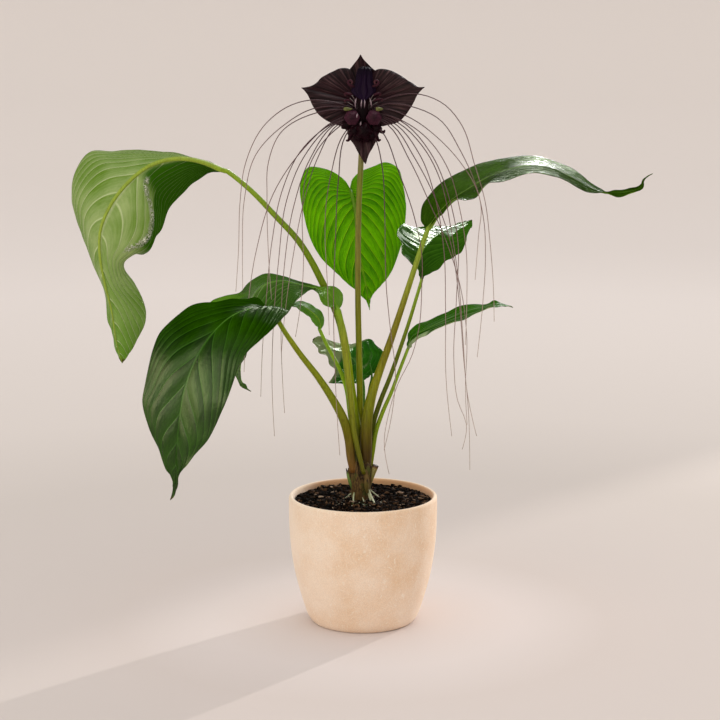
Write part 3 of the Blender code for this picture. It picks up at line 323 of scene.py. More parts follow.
LOOKS = {
    "far_left": {"pleats": (0.6, 0.4), "wave": 1.0, "gloss": (0.12, 0.34, 0.6), "tip": "5A8C06",
        "rib": (2.7, 1.5), "upper": ("1B4A02", "2F6B08", "5E8F2C"), "under": ("5E8420", "94AA68", "C4D49C"),
        "veins": ((16, 0.07, 0.17, 0.3, 0.44), (13, 0.12, 0.32, 0.45, 0.55)),
        # Painted shade: the patch darkens the folded part of the right half, which turns away from the light
        "patch": ("2C5A02", ((0.02, 0.37, 0.06, 1.2), (0.3, 0.51, 0.5, 1.2)), (0.04, 0.05)),
        "dull": (((0.02, 0.52, 0.12, 1.2),), (0.06, 0.05)),
        "seam": ((0.37, 0.2), (0.39, 0.3), (0.41, 0.42), (0.45, 0.5), (0.5, 0.5), (0.53, 0.44))},
    "lower_left": {"pleats": (0.65, 0.65), "wave": 1.8, "gloss": (0.45, 0.27, 0.45), "faces": 1,
        "ridges": (2.6, 2.0, 1.2), "upper": ("0E2800", "244C00", "3A701A"),
        "under": ("6E9A38", "85AE4C", "A9C67A"), "veins": ((12, 0.11, 0.2, 0.32, 0.48),) * 2,
        "dull": (((-0.3, 0.46, -1.2, -0.2), (0.22, 0.38, -1.2, 1.2)), (0.14, 0.35))},
    "mid_left": {"pleats": (0.6, 0.6), "wave": 1.2, "gloss": (0.35, 0.22, 0.45), "ridges": (1.0, 4.0, 0.8),
        "upper": ("1E4206", "3E6C16", "90B06C"), "under": ("58902A", "74AC3C", "A0C466"),
        "veins": ((9, 0.25, 0.45, 0.58, 0.7),) * 2,
        # Painted light: the patch gives the far half's strip the yellow-green of light shining through it, and the
        # base lobes the same paler green
        "patch": ("5C8E1A", ((0.51, 0.75, 0.6, 1.2), (-0.3, 0.27, -1.2, 1.2)), (0.07, 0.05))},
    "small_left": {"pleats": (0.25, 0.25), "wave": 0.5, "gloss": (0.04, 0.36, 0.45),
        "upper": ("4E8A1E", "72AA38", "A8CC74"), "under": ("5C8F28", "76A840", "A2C47A"),
        "veins": ((4, 0.3, 0.5, 0.62, 0.72),) * 2},
    "torn": {"pleats": (0.6, 0.6), "wave": 1.2, "gloss": (0.4, 0.17, 0.4),
        "upper": ("185006", "307816", "488E34"), "under": ("5E7A40", "74905A", "98AE7C"),
        "veins": ((9, 0.05, 0.12, 0.25, 0.4),) * 2,
        "patch": ("8A9A6A", ((0.5, 1.2, -1.2, 1.2), (0.4, 0.6, -1.2, -0.5)), (0.04, 0.05))},
    "heart": {"pleats": (0.42, 0.42), "wave": 0.8, "gloss": (0.04, 0.35, 0.45),
        # Painted light: the underside's vivid yellow-green stands for light shining through the thin blade
        "upper": ("4E8424", "78AC40", "A4CA70"), "under": ("2F7900", "73C700", "9ED61E"),
        "veins": ((10, 0.24, 0.4, 0.53, 0.65),) * 2},
    "upper_right": {"pleats": (0.7, 0.7), "wave": 1.2, "gloss": (0.5, 0.15, 0.9), "ridges": (0.5, 6.0, 0.4),
        "upper": ("183200", "3C620E", "6E8C42"), "under": ("5C8420", "78A034", "A0C060"),
        "veins": ((9, 0.3, 0.5, 0.62, 0.72),) * 2,
        "dull": (((-0.3, 0.3, -1.2, 1.2), (0.64, 1.2, -1.2, 1.2)), (0.16, 0.05))},
    "right_mid": {"pleats": (0.6, 0.15), "wave": 1.2, "gloss": (0.55, 0.14, 0.16), "ridges": (3.0, 1.0, 0.4),
        "upper": ("244A0C", "3C6C16", "56862A"), "under": ("58902A", "74AC3C", "A0C466"),
        "veins": ((20, 0.02, 0.05, 0.08, 0.14), (11, 0.1, 0.22, 0.35, 0.5)),
        "dull": (((-0.3, 1.2, 0.34, 1.2), (0.88, 1.2, -1.2, 1.2), (-0.3, 0.56, 0.0, 1.2)), (0.06, 0.05))},
    "lower_right": {"pleats": (0.45, 0.45), "wave": 0.8, "gloss": (0.05, 0.3, 0.45),
        "upper": ("245200", "3A7A04", "6A9A2C"), "under": ("7E9C58", "98B474", "B4CC8E"),
        "veins": ((3, 0.35, 0.55, 0.7, 0.8),) * 2,
        "patch": ("A4B888", ((0.02, 0.34, 0.3, 1.2),), (0.04, 0.05))},
}
LOOKS = {name: {**PLAIN_LOOK, **look} for name, look in LOOKS.items()}


def tint(code):
    """A colour written as an sRGB hex value, as the linear values that a shader takes."""
    channels = [int(code[i:i + 2], 16) / 255 for i in (0, 2, 4)]
    return (*[c / 12.92 if c <= 0.04045 else ((c + 0.055) / 1.055) ** 2.4 for c in channels], 1)


def feed(node, inputs):
    """Sets a shader node's inputs: to plain values, to hex colours, or by links from other nodes."""
    for socket, value in inputs.items():
        if isinstance(value, bpy.types.NodeSocket):
            node.id_data.links.new(value, node.inputs[socket])
        else:
            node.inputs[socket].default_value = tint(value) if isinstance(value, str) else value


def add_node(tree, kind, inputs=None, out=0, stops=None, **settings):
    """Adds a shader node with its settings, its inputs and a colour ramp's stops, and gives its output."""
    made = tree.nodes.new("ShaderNode" + kind)
    for key, value in settings.items():
        setattr(made, key, value)
    feed(made, inputs or {})
    if stops:
        points = made.color_ramp.elements
        while len(points) < len(stops):
            points.new(0.5)
        for point, (place, colour) in zip(points, stops):
            point.position = place
            point.color = tint(colour)
    return made.outputs[out]


def new_material(name, roughness, ior=1.45, **settings):
    """A material whose plain values are set on its own shader, that shader, and what adds nodes to it."""
    made = bpy.data.materials.new(name)
    made.use_nodes = True
    shader = made.node_tree.nodes["Principled BSDF"]
    feed(shader, {"Roughness": roughness, "IOR": ior})
    feed(shader, {key.replace("_", " "): value for key, value in settings.items()})
    return made, shader, functools.partial(add_node, made.node_tree)


def along(points, fractions):
    """Places on a smooth curve through the points, at fractions of the way along it."""
    points = np.array(points, float)
    steps = np.linalg.norm(np.diff(points, axis=0), axis=1)
    knots = np.concatenate([[0], np.cumsum(steps)])
    slopes = np.diff(points, axis=0) / steps[:, None]
    before, after = steps[:-1, None], steps[1:, None]
    inner = (slopes[:-1] * after + slopes[1:] * before) / (before + after)
    tangents = np.vstack([1.5 * slopes[:1] - 0.5 * inner[:1], inner, 1.5 * slopes[-1:] - 0.5 * inner[-1:]])
    places = np.asarray(fractions, float) * knots[-1]
    k = np.clip(np.searchsorted(knots, places, side="right") - 1, 0, len(steps) - 1)
    span = steps[k][:, None]
    t = ((places - knots[k]) / steps[k])[:, None]
    return ((2 * t**3 - 3 * t**2 + 1) * points[k] + (t**3 - 2 * t**2 + t) * span * tangents[k]
            + (3 * t**2 - 2 * t**3) * points[k + 1] + (t**3 - t**2) * span * tangents[k + 1])


def spread(values, ways):
    """Values given evenly spaced along a line, read at these ways along it."""
    return np.interp(ways, np.linspace(0, 1, len(values)), values)


def facing_of(down, across):
    """The way a sheet faces, from the directions down and across it at each place. At its first and last row,
    where it has no width, it faces as the next row does."""
    facing = np.cross(down, across)
    facing[0], facing[-1] = facing[1], facing[-2]
    return facing / np.maximum(np.linalg.norm(facing, axis=-1, keepdims=True), 1e-9)


def pointed(places):
    """Rows of places with their middle added before the first and after the last, so that the ends close."""
    ends = [np.repeat(row.mean(axis=0)[None], places.shape[1], axis=0)[None] for row in (places[0], places[-1])]
    return np.concatenate([ends[0], places, ends[1]])


def only(piece):
    """Leaves this piece alone selected and active."""
    for other in bpy.context.selected_objects:
        other.select_set(False)
    bpy.context.view_layer.objects.active = piece
    piece.select_set(True)


def named(name):
    """The active piece, under its own name."""
    piece = bpy.context.object
    piece.name = name
    piece.data.name = name
    return piece


def mend(piece, closed):
    """Merges the points that meet at ends and seams, and turns a closed piece's faces outwards."""
    only(piece)
    bpy.ops.object.mode_set(mode="EDIT")
    bpy.ops.mesh.select_all(action="SELECT")
    bpy.ops.mesh.remove_doubles(threshold=0.002 * MM)
    if closed:
        bpy.ops.mesh.normals_make_consistent(inside=False)
    bpy.ops.object.mode_set(mode="OBJECT")


def lay(name, places, closed=False, **attributes):
    """Lays a grid primitive over rows of places in mm, with the values that its materials read."""
    rows, columns = places.shape[0] - 1, places.shape[1] - 1
    bpy.ops.mesh.primitive_grid_add(x_subdivisions=columns, y_subdivisions=rows, size=1)
    piece = named(name)
    flat = np.array([v.co[:] for v in piece.data.vertices])
    column = np.rint((flat[:, 0] + 0.5) * columns).astype(int)
    row = np.rint((flat[:, 1] + 0.5) * rows).astype(int)
    piece.data.vertices.foreach_set("co", (places[row, column] * MM).ravel())
    for key, values in attributes.items():
        piece.data.attributes.new(key, "FLOAT", "POINT").data.foreach_set("value", values[row, column])
    piece.data.update()
    mend(piece, closed)
    return piece


def thicken(piece, thickness, back=0):
    """Gives a sheet its thickness in mm, half to either side, and its back the material this many on."""
    wall = piece.modifiers.new("wall", "SOLIDIFY")
    wall.thickness = thickness * MM
    wall.offset = 0
    wall.material_offset = back
    only(piece)
    bpy.ops.object.modifier_apply(modifier=wall.name)


def round_line(name, centres, radii, way, sides):
    """A closed rod round a line, whose materials read how far along it each point lies."""
    tangents = np.gradient(centres, axis=0)
    tangents /= np.linalg.norm(tangents, axis=1)[:, None]
    side = Vector(tangents[0]).orthogonal().normalized()
    angles = np.linspace(0, 2 * math.pi, sides + 1)
    rings = [np.repeat(centres[:1], sides + 1, axis=0)]
    for centre, tangent, radius in zip(centres, tangents, radii):
        tangent = Vector(tangent)
        side = (side - tangent * side.dot(tangent)).normalized()
        across, other = np.array(side), np.array(tangent.cross(side))
        rings.append(centre + radius * (np.cos(angles)[:, None] * across + np.sin(angles)[:, None] * other))
    rings.append(np.repeat(centres[-1:], sides + 1, axis=0))
    way = np.repeat(np.concatenate([way[:1], way, way[-1:]])[:, None], sides + 1, axis=1)
    return lay(name, np.array(rings), True, way=way)


def rod(name, path, radii, sides, steps):
    """A closed rod along a smooth path, with radii evenly spaced along it."""
    ways = np.linspace(0, 1, steps + 1)
    return round_line(name, along(path, ways), spread(radii, ways), ways, sides)


def joined(name, pieces):
    """Joins the pieces into one object."""
    only(pieces[0])
    for piece in pieces:
        piece.select_set(True)
    bpy.ops.object.join()
    return named(name)


def rods(name, paths, radii, sides, steps):
    """Rods along several paths, as one object."""
    return joined(name, [rod(f"{name}_{k}", path, radii, sides, steps) for k, path in enumerate(paths)])


def dress(piece, node, *materials):
    """Gives the piece its materials, its smooth shading and its place on the plant."""
    for made in materials:
        piece.data.materials.append(made)
    only(piece)
    bpy.ops.object.shade_smooth()
    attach(piece, "root")
    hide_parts(node)


def inside(places):
    """Holds a sheet's places inside the box of the solids, with room for its own thickness."""
    low, high = (np.array(corner) / MM for corner in cad_box)
    return np.clip(places, low + 0.4, high - 0.4)


# ---------------------------------------------------------------- materials

def leaf_material(name, colours, patch, gloss, ridges, upper, tip_green=None):
    """Living leaf: a waxy skin, glossy above and duller beneath, with paler side veins that run to the tip,
    sunk above and raised beneath, finer veins between them and a crinkled network all over."""
    deep, mid, pale = colours
    made, shader, add = new_material(name, gloss[1], Specular_Tint="EEFFD6")
    vein, way, across, patched, dull, seam = (add("Attribute", out="Fac", attribute_name=value) for value in
                                              ("vein", "way", "across", "patch", "dull", "seam"))
    place = add("TexCoord", out="Object")

    def lines(count, wide):
        """Lines on every part of the side veins' spacing, 1 on a line and 0 away from it."""
        parts = add("Math", {0: vein, 1: count}, operation="MULTIPLY")
        part = add("Math", {0: parts}, operation="FRACT")
        away = add("Math", {0: part, 1: 0.5}, operation="SUBTRACT")
        away = add("Math", {0: away}, operation="ABSOLUTE")
        line = add("MapRange", {"Value": away, "From Min": 0.5 - wide, "From Max": 0.5},
                   interpolation_type="SMOOTHSTEP")
        return part, line

    pleat_shade, line = lines(1.0, 0.075)
    _, fine = lines(5.0, 0.3)
    rib = add("Math", {0: across}, operation="ABSOLUTE")
    rib_line = add("MapRange", {"Value": rib, "From Min": 0.012, "From Max": 0.04, "To Min": 1.0, "To Max": 0.0},
                   interpolation_type="SMOOTHSTEP")
    main = add("Math", {0: line, 1: rib_line}, operation="MAXIMUM")
    # The network between the side veins, drawn out along them, wrinkles of about 4 mm and patches of about 40 mm
    cell = add("CombineXYZ", {"X": vein, "Y": across})
    cells = add("Mapping", {"Vector": cell, "Scale": (ridges[0], 11.0, 1.0)})
    net = add("TexNoise", {"Vector": cells, "Scale": 1.0, "Detail": 3.0, "Roughness": 0.6})
    wrinkle = add("TexNoise", {"Vector": place, "Scale": 240.0, "Detail": 3.0, "Roughness": 0.55})
    broad = add("TexNoise", {"Vector": place, "Scale": 25.0, "Detail": 2.0})
    # Painted shade of the pleats: across each band between two side veins the colour runs from the deep one to the
    # mid one
    blend = add("Math", {0: pleat_shade, 1: 0.42, 2: broad}, operation="MULTIPLY_ADD")
    blend = add("Math", {0: net, 1: 0.6, 2: blend}, operation="MULTIPLY_ADD")
    share = add("MapRange", {"Value": blend, "From Min": 0.7, "From Max": 1.3})
    colour = add("Mix", {"Factor": share, 6: deep, 7: mid}, 2, data_type="RGBA")
    # The patch's colour: on some leaves the underside's own paler colour, on far_left painted shade, on mid_left
    # painted light
    colour = add("Mix", {"Factor": patched, 6: colour, 7: patch}, 2, data_type="RGBA")
    if tip_green:
        low = add("MapRange", {"Value": way, "From Min": 0.55, "From Max": 0.92, "To Max": 0.85})
        colour = add("Mix", {"Factor": low, 6: colour, 7: tip_green}, 2, data_type="RGBA")
    # The veins are paler than the blade, less so on a patch of another colour
    weight = add("Math", {0: main, 1: 0.42 if upper else 0.7}, operation="MULTIPLY")
    weight = add("Math", {0: fine, 1: 0.07, 2: weight}, operation="MULTIPLY_ADD")
    plain = add("MapRange", {"Value": patched, "To Min": 1.0, "To Max": 0.35})
    weight = add("Math", {0: weight, 1: plain}, operation="MULTIPLY")
    colour = add("Mix", {"Factor": weight, 6: colour, 7: pale}, 2, data_type="RGBA")
    # A dry seam with a painted highlight: white where its crinkles stand up, about 2 mm apart
    crinkle = add("TexNoise", {"Vector": place, "Scale": 520.0, "Detail": 3.0, "Roughness": 0.6, "Distortion": 1.5})
    crest_highlight = add("MapRange", {"Value": crinkle, "From Min": 0.46, "From Max": 0.56})
    crest_highlight = add("Math", {0: crest_highlight, 1: seam}, operation="MULTIPLY")
    colour = add("Mix", {"Factor": crest_highlight, 6: colour, 7: "F0F3DE"}, 2, data_type="RGBA")
    # A thin dry brown at the margin and at the very tip
    edge = add("MapRange", {"Value": rib, "From Min": 0.985, "From Max": 1.0, "To Max": 0.25})
    tip = add("MapRange", {"Value": way, "From Min": 0.95, "From Max": 0.975, "To Max": 0.9})
    dry = add("Math", {0: edge, 1: tip}, operation="MAXIMUM")
    colour = add("Mix", {"Factor": dry, 6: colour, 7: "4A3A14"}, 2, data_type="RGBA")
    # The relief of the network, the veins, the seam and the wrinkles
    height = add("Math", {0: net, 1: ridges[1]}, operation="MULTIPLY")
    for part, high in ((main, -0.7 if upper else 1.0), (fine, -0.06 if upper else 0.12), (crest_highlight, 3.0),
                       (wrinkle, ridges[2])):
        height = add("Math", {0: part, 1: high, 2: height}, operation="MULTIPLY_ADD")
    feed(shader, {"Base Color": colour,
                  "Specular IOR Level": add("MapRange", {"Value": dull, "To Min": gloss[0], "To Max": 0.0}),
                  "Normal": add("Bump", {"Height": height, "Strength": gloss[2] if upper else 1.0,
                                         "Distance": 0.45 * MM})})
    return made


def stalk_material(name, stops):
    """Living stalk: a satin skin, brown at the crown and greener towards the blade, with fine ribs along
    it and small brown flecks."""
    made, shader, add = new_material(name, 0.42, Specular_IOR_Level=0.13)
    place = add("TexCoord", out="Object")
    colour = add("ValToRGB", {0: add("Attribute", out="Fac", attribute_name="way")}, stops=stops)
    # Streaks about 1 mm wide that run up the stalk, and flecks of about 3 mm
    stretched = add("Mapping", {"Vector": place, "Scale": (900.0, 900.0, 45.0)})
    streak = add("TexNoise", {"Vector": stretched, "Scale": 1.0, "Detail": 3.0})
    shade = add("MapRange", {"Value": streak, "From Min": 0.3, "From Max": 0.7, "To Min": 0.72, "To Max": 1.18})
    colour = add("VectorMath", {0: colour, "Scale": shade}, operation="SCALE")
    fleck = add("TexNoise", {"Vector": place, "Scale": 330.0, "Detail": 2.0})
    flecks = add("MapRange", {"Value": fleck, "From Min": 0.6, "From Max": 0.75, "To Max": 0.35})
    feed(shader, {"Base Color": add("Mix", {"Factor": flecks, 6: colour, 7: "4A3412"}, 2, data_type="RGBA"),
                  "Normal": add("Bump", {"Height": streak, "Strength": 0.3, "Distance": 0.25 * MM})})
    return made


def clay_material():
    """Pressed and fired sand-coloured clay, unglazed: matt, clouded in soft patches, with pale grains and
    fine pale scratches where it was smoothed."""
    made, shader, add = new_material("fired sand clay, smoothed", 0.78, 1.5, Specular_IOR_Level=0.35,
                                     Sheen_Weight=0.22, Sheen_Roughness=0.6)
    place = add("TexCoord", out="Object")
    aside = add("SeparateXYZ", {0: place}, "X")
    up = aside.node.outputs["Z"]
    # Clouds of about 35 mm, with painted light: paler towards the pot's left, where the light falls
    cloud = add("TexNoise", {"Vector": place, "Scale": 28.0, "Detail": 5.0, "Roughness": 0.55})
    cloud_paler_left = add("Math", {0: aside, 1: -1.6, 2: cloud}, operation="MULTIPLY_ADD")
    colour = add("ValToRGB", {0: cloud_paler_left}, stops=((0.3, "EDCCA8"), (0.5, "F3D9BD"), (0.7, "F8E3CC")))
    # Grains of about 1 mm
    grain = add("TexNoise", {"Vector": place, "Scale": 900.0, "Detail": 2.0})
    grained = add("MapRange", {"Value": grain, "From Min": 0.3, "From Max": 0.7, "To Min": 0.93, "To Max": 1.06})
    colour = add("VectorMath", {0: colour, "Scale": grained}, operation="SCALE")
    # Scratches and pale wisps about 1 mm wide and 8 mm long, laid two ways
    bent = add("TexNoise", {"Vector": place, "Scale": 45.0, "Detail": 1.0}, "Color")
    swirl = add("VectorMath", {0: bent, 1: (0.03, 0.03, 0.03), 2: place}, operation="MULTIPLY_ADD")
    for turn in ((0.5, 0.35, 0.2), (-0.6, 0.9, -0.4)):
        stretched = add("Mapping", {"Vector": swirl, "Rotation": turn, "Scale": (1200.0, 1200.0, 120.0)})
        wisp = add("TexNoise", {"Vector": stretched, "Scale": 1.0, "Detail": 2.0, "Roughness": 0.6})
        wisps = add("MapRange", {"Value": wisp, "From Min": 0.6, "From Max": 0.68, "To Max": 0.75})
        colour = add("Mix", {"Factor": wisps, 6: colour, 7: "FDEFDE"}, 2, data_type="RGBA")
    # Painted shade: the inner wall above the soil is a deeper orange, as it lies in shade lit by the clay round it,
    # except on its left side, where the light falls on it
    flat = add("VectorMath", {0: place, 1: (1, 1, 0)}, operation="MULTIPLY")
    from_axis = add("VectorMath", {0: flat}, "Value", operation="LENGTH")
    inner_wall_shade = add("MapRange", {"Value": from_axis, "From Min": 70.8 * MM, "From Max": 72.0 * MM,
                            "To Min": 0.85, "To Max": 0.0})
    for part in (add("Math", {0: up, 1: 112 * MM}, operation="GREATER_THAN"),
                 add("MapRange", {"Value": aside, "From Min": -68 * MM, "From Max": -45 * MM})):
        inner_wall_shade = add("Math", {0: inner_wall_shade, 1: part}, operation="MULTIPLY")
    colour = add("Mix", {"Factor": inner_wall_shade, 6: colour, 7: "E2A772"}, 2, data_type="RGBA")
    height = add("Math", {0: grain, 1: 0.5, 2: cloud}, operation="MULTIPLY_ADD")
    feed(shader, {"Base Color": colour,
                  "Normal": add("Bump", {"Height": height, "Strength": 0.18, "Distance": 0.3 * MM})})
    return made


def earth_material():
    """Moist peat potting soil, unpressed: dull and dark, with painted shade that makes it nearly black in its
    hollows, and brown grains of 4 mm.
    """
    made, shader, add = new_material("moist peat potting soil", 0.92, Specular_IOR_Level=0.02)
    place = add("TexCoord", out="Object")
    grain = add("TexNoise", {"Vector": place, "Scale": 250.0, "Detail": 4.0, "Roughness": 0.65})
    stops = ((0.3, "040201"), (0.5, "0C0603"), (0.62, "1C1109"), (0.75, "3C281A"))
    feed(shader, {"Base Color": add("ValToRGB", {0: grain}, stops=stops),
                  "Normal": add("Bump", {"Height": grain, "Strength": 0.6, "Distance": 1.6 * MM})})
    return made


def toned_material(name, roughness, *stops, **settings):
    """A material whose colour goes by the value "way" that its piece carries: along a grown piece, or from
    crumb to crumb. Grains of about 1.5 mm shade it and roughen it a little."""
    made, shader, add = new_material(name, roughness, **settings)
    place = add("TexCoord", out="Object")
    colour = add("ValToRGB", {0: add("Attribute", out="Fac", attribute_name="way")}, stops=stops)
    grain = add("TexNoise", {"Vector": place, "Scale": 700.0, "Detail": 3.0})
    shade = add("MapRange", {"Value": grain, "From Min": 0.3, "From Max": 0.7, "To Min": 0.75, "To Max": 1.25})
    feed(shader, {"Base Color": add("VectorMath", {0: colour, "Scale": shade}, operation="SCALE"),
                  "Normal": add("Bump", {"Height": grain, "Strength": 0.4, "Distance": 0.2 * MM})})
    return made


def crown_material(name, crease_shade, mid, pale, green):
    """Rhizome and dead leaf bases: a rough corky skin, with painted shade that makes it nearly black in its
    creases, fibres about 1.5 mm wide that run up it, and patches where it is still green."""
    made, shader, add = new_material(name, 0.75, Specular_IOR_Level=0.25)
    place = add("TexCoord", out="Object")
    drawn = add("Mapping", {"Vector": place, "Scale": (700.0, 700.0, 160.0)})
    fibre = add("TexNoise", {"Vector": drawn, "Scale": 1.0, "Detail": 4.0, "Roughness": 0.65, "Distortion": 0.6})
    colour = add("ValToRGB", {0: fibre}, stops=((0.36, crease_shade), (0.48, mid), (0.66, pale)))
    # Green patches of about 11 mm
    patch = add("TexNoise", {"Vector": place, "Scale": 90.0, "Detail": 2.0})
    patches = add("MapRange", {"Value": patch, "From Min": 0.5, "From Max": 0.62, "To Max": 0.7})
    feed(shader, {"Base Color": add("Mix", {"Factor": patches, 6: colour, 7: green}, 2, data_type="RGBA"),
                  "Normal": add("Bump", {"Height": fibre, "Strength": 0.7, "Distance": 0.7 * MM})})
    return made


def bract_material():
    """Bract: a thin velvety skin, nearly black, with grey-brown streaks that fan out from its base between
    folds darkened by painted shade, and a maroon flush near the base."""
    made, shader, add = new_material("black maroon bract skin", 0.5, Specular_IOR_Level=0.1)
    vein, way = (add("Attribute", out="Fac", attribute_name=value) for value in ("vein", "way"))
    cell = add("CombineXYZ", {"X": vein, "Y": way})
    drawn = add("Mapping", {"Vector": cell, "Scale": (3.4, 1.3, 1.0)})
    streak = add("TexNoise", {"Vector": drawn, "Scale": 1.0, "Detail": 5.0, "Roughness": 0.65})
    stops = ((0.36, "0A0304"), (0.48, "1F0C0F"), (0.58, "382226"), (0.72, "6A524F"))
    colour = add("ValToRGB", {0: streak}, stops=stops)
    inner = add("MapRange", {"Value": way, "From Min": 0.15, "From Max": 0.6, "To Min": 0.75, "To Max": 0.0})
    feed(shader, {"Base Color": add("Mix", {"Factor": inner, 6: colour, 7: "2A0816"}, 2, data_type="RGBA"),
                  "Normal": add("Bump", {"Height": streak, "Strength": 0.6, "Distance": 0.35 * MM})})
    return made


def bud_material(name, dark, mid, pale):
    """Bud and petal skin: a dark satin, darkest where it springs and palest at its tip."""
    return toned_material(name, 0.45, (0, dark), (0.35, mid), (0.7, mid), (1, pale), Specular_IOR_Level=0.04)


# ---------------------------------------------------------------- leaves and stalks

LEAF_ROWS = 150
LEAF_COLUMNS = 104
SMALL_LEAVES = ("small_left", "torn", "lower_right")  # These take half the rows
LEAF_SKIN = 0.55  # mm
BLADE_BOW = 0.07  # How far each half of a blade bulges, as a share of its width
ENDS_CLOSER = 0.09  # How much closer rows lie near a blade's base and tip
SEAM_SPAN = (230, 42)  # mm in the length of the blade that has the seam, and in half its width
STALK_STEPS = 46
STALK_SIDES = 14
RIB_STEPS = 54
RIB_OFFSET = 0.72  # of its radius, towards the underside


def blade_places(blade, ways, columns):
    """Places over a blade: its rib and margins share a base and a tip, and each half bows between them."""
    base, tip = blade["ends"]
    ways = ways - ENDS_CLOSER * np.sin(2 * np.pi * ways)
    lines = {name: along([base, *points, tip], ways) for name, points in blade.items() if name != "ends"}
    left, rib, right = lines["left"], lines["rib"], lines["right"]
    facing = facing_of(np.gradient(rib, axis=0), right - left)
    places = np.empty((len(ways), len(columns), 3))
    for c, v in enumerate(columns):
        edge = left if v < 0 else right
        width = np.linalg.norm(edge - rib, axis=1)[:, None]
        middle = (rib + edge) / 2 + BLADE_BOW * width * facing
        if v > 0 and "right_fold" in lines:
            middle = lines["right_fold"]
        t = abs(v)
        places[:, c] = (1 - t) * (1 - 2 * t) * rib + 4 * t * (1 - t) * middle + t * (2 * t - 1) * edge
    places[0], places[-1] = rib[0], rib[-1]
    return places


def side_veins(across, way, halves):
    """Which side vein a point lies by: whole numbers are on a vein. Veins leave the rib and run out to the
    margin and on towards the tip."""
    vein = np.zeros(across.shape)
    for (count, *runs), half in zip(halves, (across < 0, across >= 0)):
        run = np.polyval(np.polyfit(np.linspace(0, 1, 5), [0, *runs], 4), np.abs(across[half]))
        vein[half] = (way[half] - run) / (1 - run) * count
    return vein


def pleated(places, across, way, vein, look, rng):
    """Lifts the blade between its side veins towards its upper side, unevenly, and waves its margins."""
    facing = facing_of(np.gradient(places, axis=0), np.gradient(places, axis=1))
    out = np.abs(across)
    depth = np.where(across < 0, *look["pleats"])
    side = (across > 0).astype(float)
    start = rng.uniform(0, 50)
    uneven = np.array([[noise.noise(Vector((1.3 * n, 3.1 * w, 9 * k + start))) for n, w, k in zip(*row)]
                       for row in zip(vein, way, side)])
    # The pleats die away at the base and tip, at the rib, at the margin and where the veins crowd at the base
    ends = np.clip(np.minimum(way, 1 - way) / 0.1, 0, 1) ** 0.7
    off_rib = np.clip(out / 0.1, 0, 1)
    sides = off_rib * np.clip((1 - out) / 0.15, 0, 1) ** 0.5
    crowded = np.clip(1.7 + vein / max(1, vein.max()), 0, 1)
    lift = depth * (1 + 1.1 * uneven) * (np.abs(np.sin(np.pi * vein)) ** 0.75 - 0.5) * sides * ends * crowded
    # Two waves in the margin, about 4 and 9 to the length of the leaf
    phase = [rng.uniform(0, 2 * math.pi) for _ in range(2)]
    ripple = (np.sin(2 * np.pi * 4.3 * way + phase[0] + 1.7 * side)
              + 0.6 * np.sin(2 * np.pi * 9.1 * way + phase[1] + 2.3 * side))
    lift = lift + look["wave"] * out**4 * ripple * ends + 0.8 * depth * uneven * ends * off_rib
    return places + look["faces"] * facing * lift[:, :, None]


def soft_step(values, start, width):
    """0 below a start and 1 above it, with a smooth rise as wide as this."""
    t = np.clip((values - start) / width + 0.5, 0, 1)
    return t * t * (3 - 2 * t)


def in_spots(way, across, spots, soft):
    """How far a point lies within the spots: 1 inside, 0 outside, soft at their edges."""
    within = np.zeros(across.shape)
    for from_way, to_way, from_side, to_side in spots:
        within = np.maximum(within, soft_step(way, from_way, soft[0]) * soft_step(-way, -to_way, soft[0])
                            * soft_step(across, from_side, soft[1]) * soft_step(-across, -to_side, soft[1]))
    return within


def build_leaf(name):
    """A blade with an upper skin and an underside, pleated between its side veins."""
    look = LOOKS[name]
    rng = random.Random(f"{SEED} {name}")
    ways = np.linspace(0, 1, (LEAF_ROWS // 2 if name in SMALL_LEAVES else LEAF_ROWS) + 1)
    columns = np.linspace(-1, 1, LEAF_COLUMNS + 1)
    across, way = np.meshgrid(columns, ways)
    vein = side_veins(across, way, look["veins"])
    places = inside(pleated(blade_places(LEAVES[name], ways, columns), across, way, vein, look, rng))
    colour, *patches = look["patch"]
    seam = np.zeros(across.shape)
    for w, a in along(look["seam"], np.linspace(0, 1, 60)) if look["seam"] else ():
        # Whole for 1 mm to either side of its line, and fading out over 2 mm more
        near = np.hypot((way - w) * SEAM_SPAN[0], (across - a) * SEAM_SPAN[1])
        seam = np.maximum(seam, np.clip(1.5 - near / 2.0, 0, 1))
    piece = lay(f"blade_{name}", places, across=across, way=way, vein=vein, patch=in_spots(way, across, *patches),
                dull=in_spots(way, across, *look["dull"]), seam=seam)
    skins = [leaf_material(f"leaf {name} upper skin", look["upper"], colour, look["gloss"], look["ridges"], True),
             leaf_material(f"leaf {name} underside", look["under"], colour, look["gloss"], PLAIN_LOOK["ridges"],
                           False, look["tip"])]
    for made in skins if look["faces"] < 0 else reversed(skins):
        piece.data.materials.append(made)
    thicken(piece, LEAF_SKIN, back=1)
    dress(piece, f"leaf_{name}")


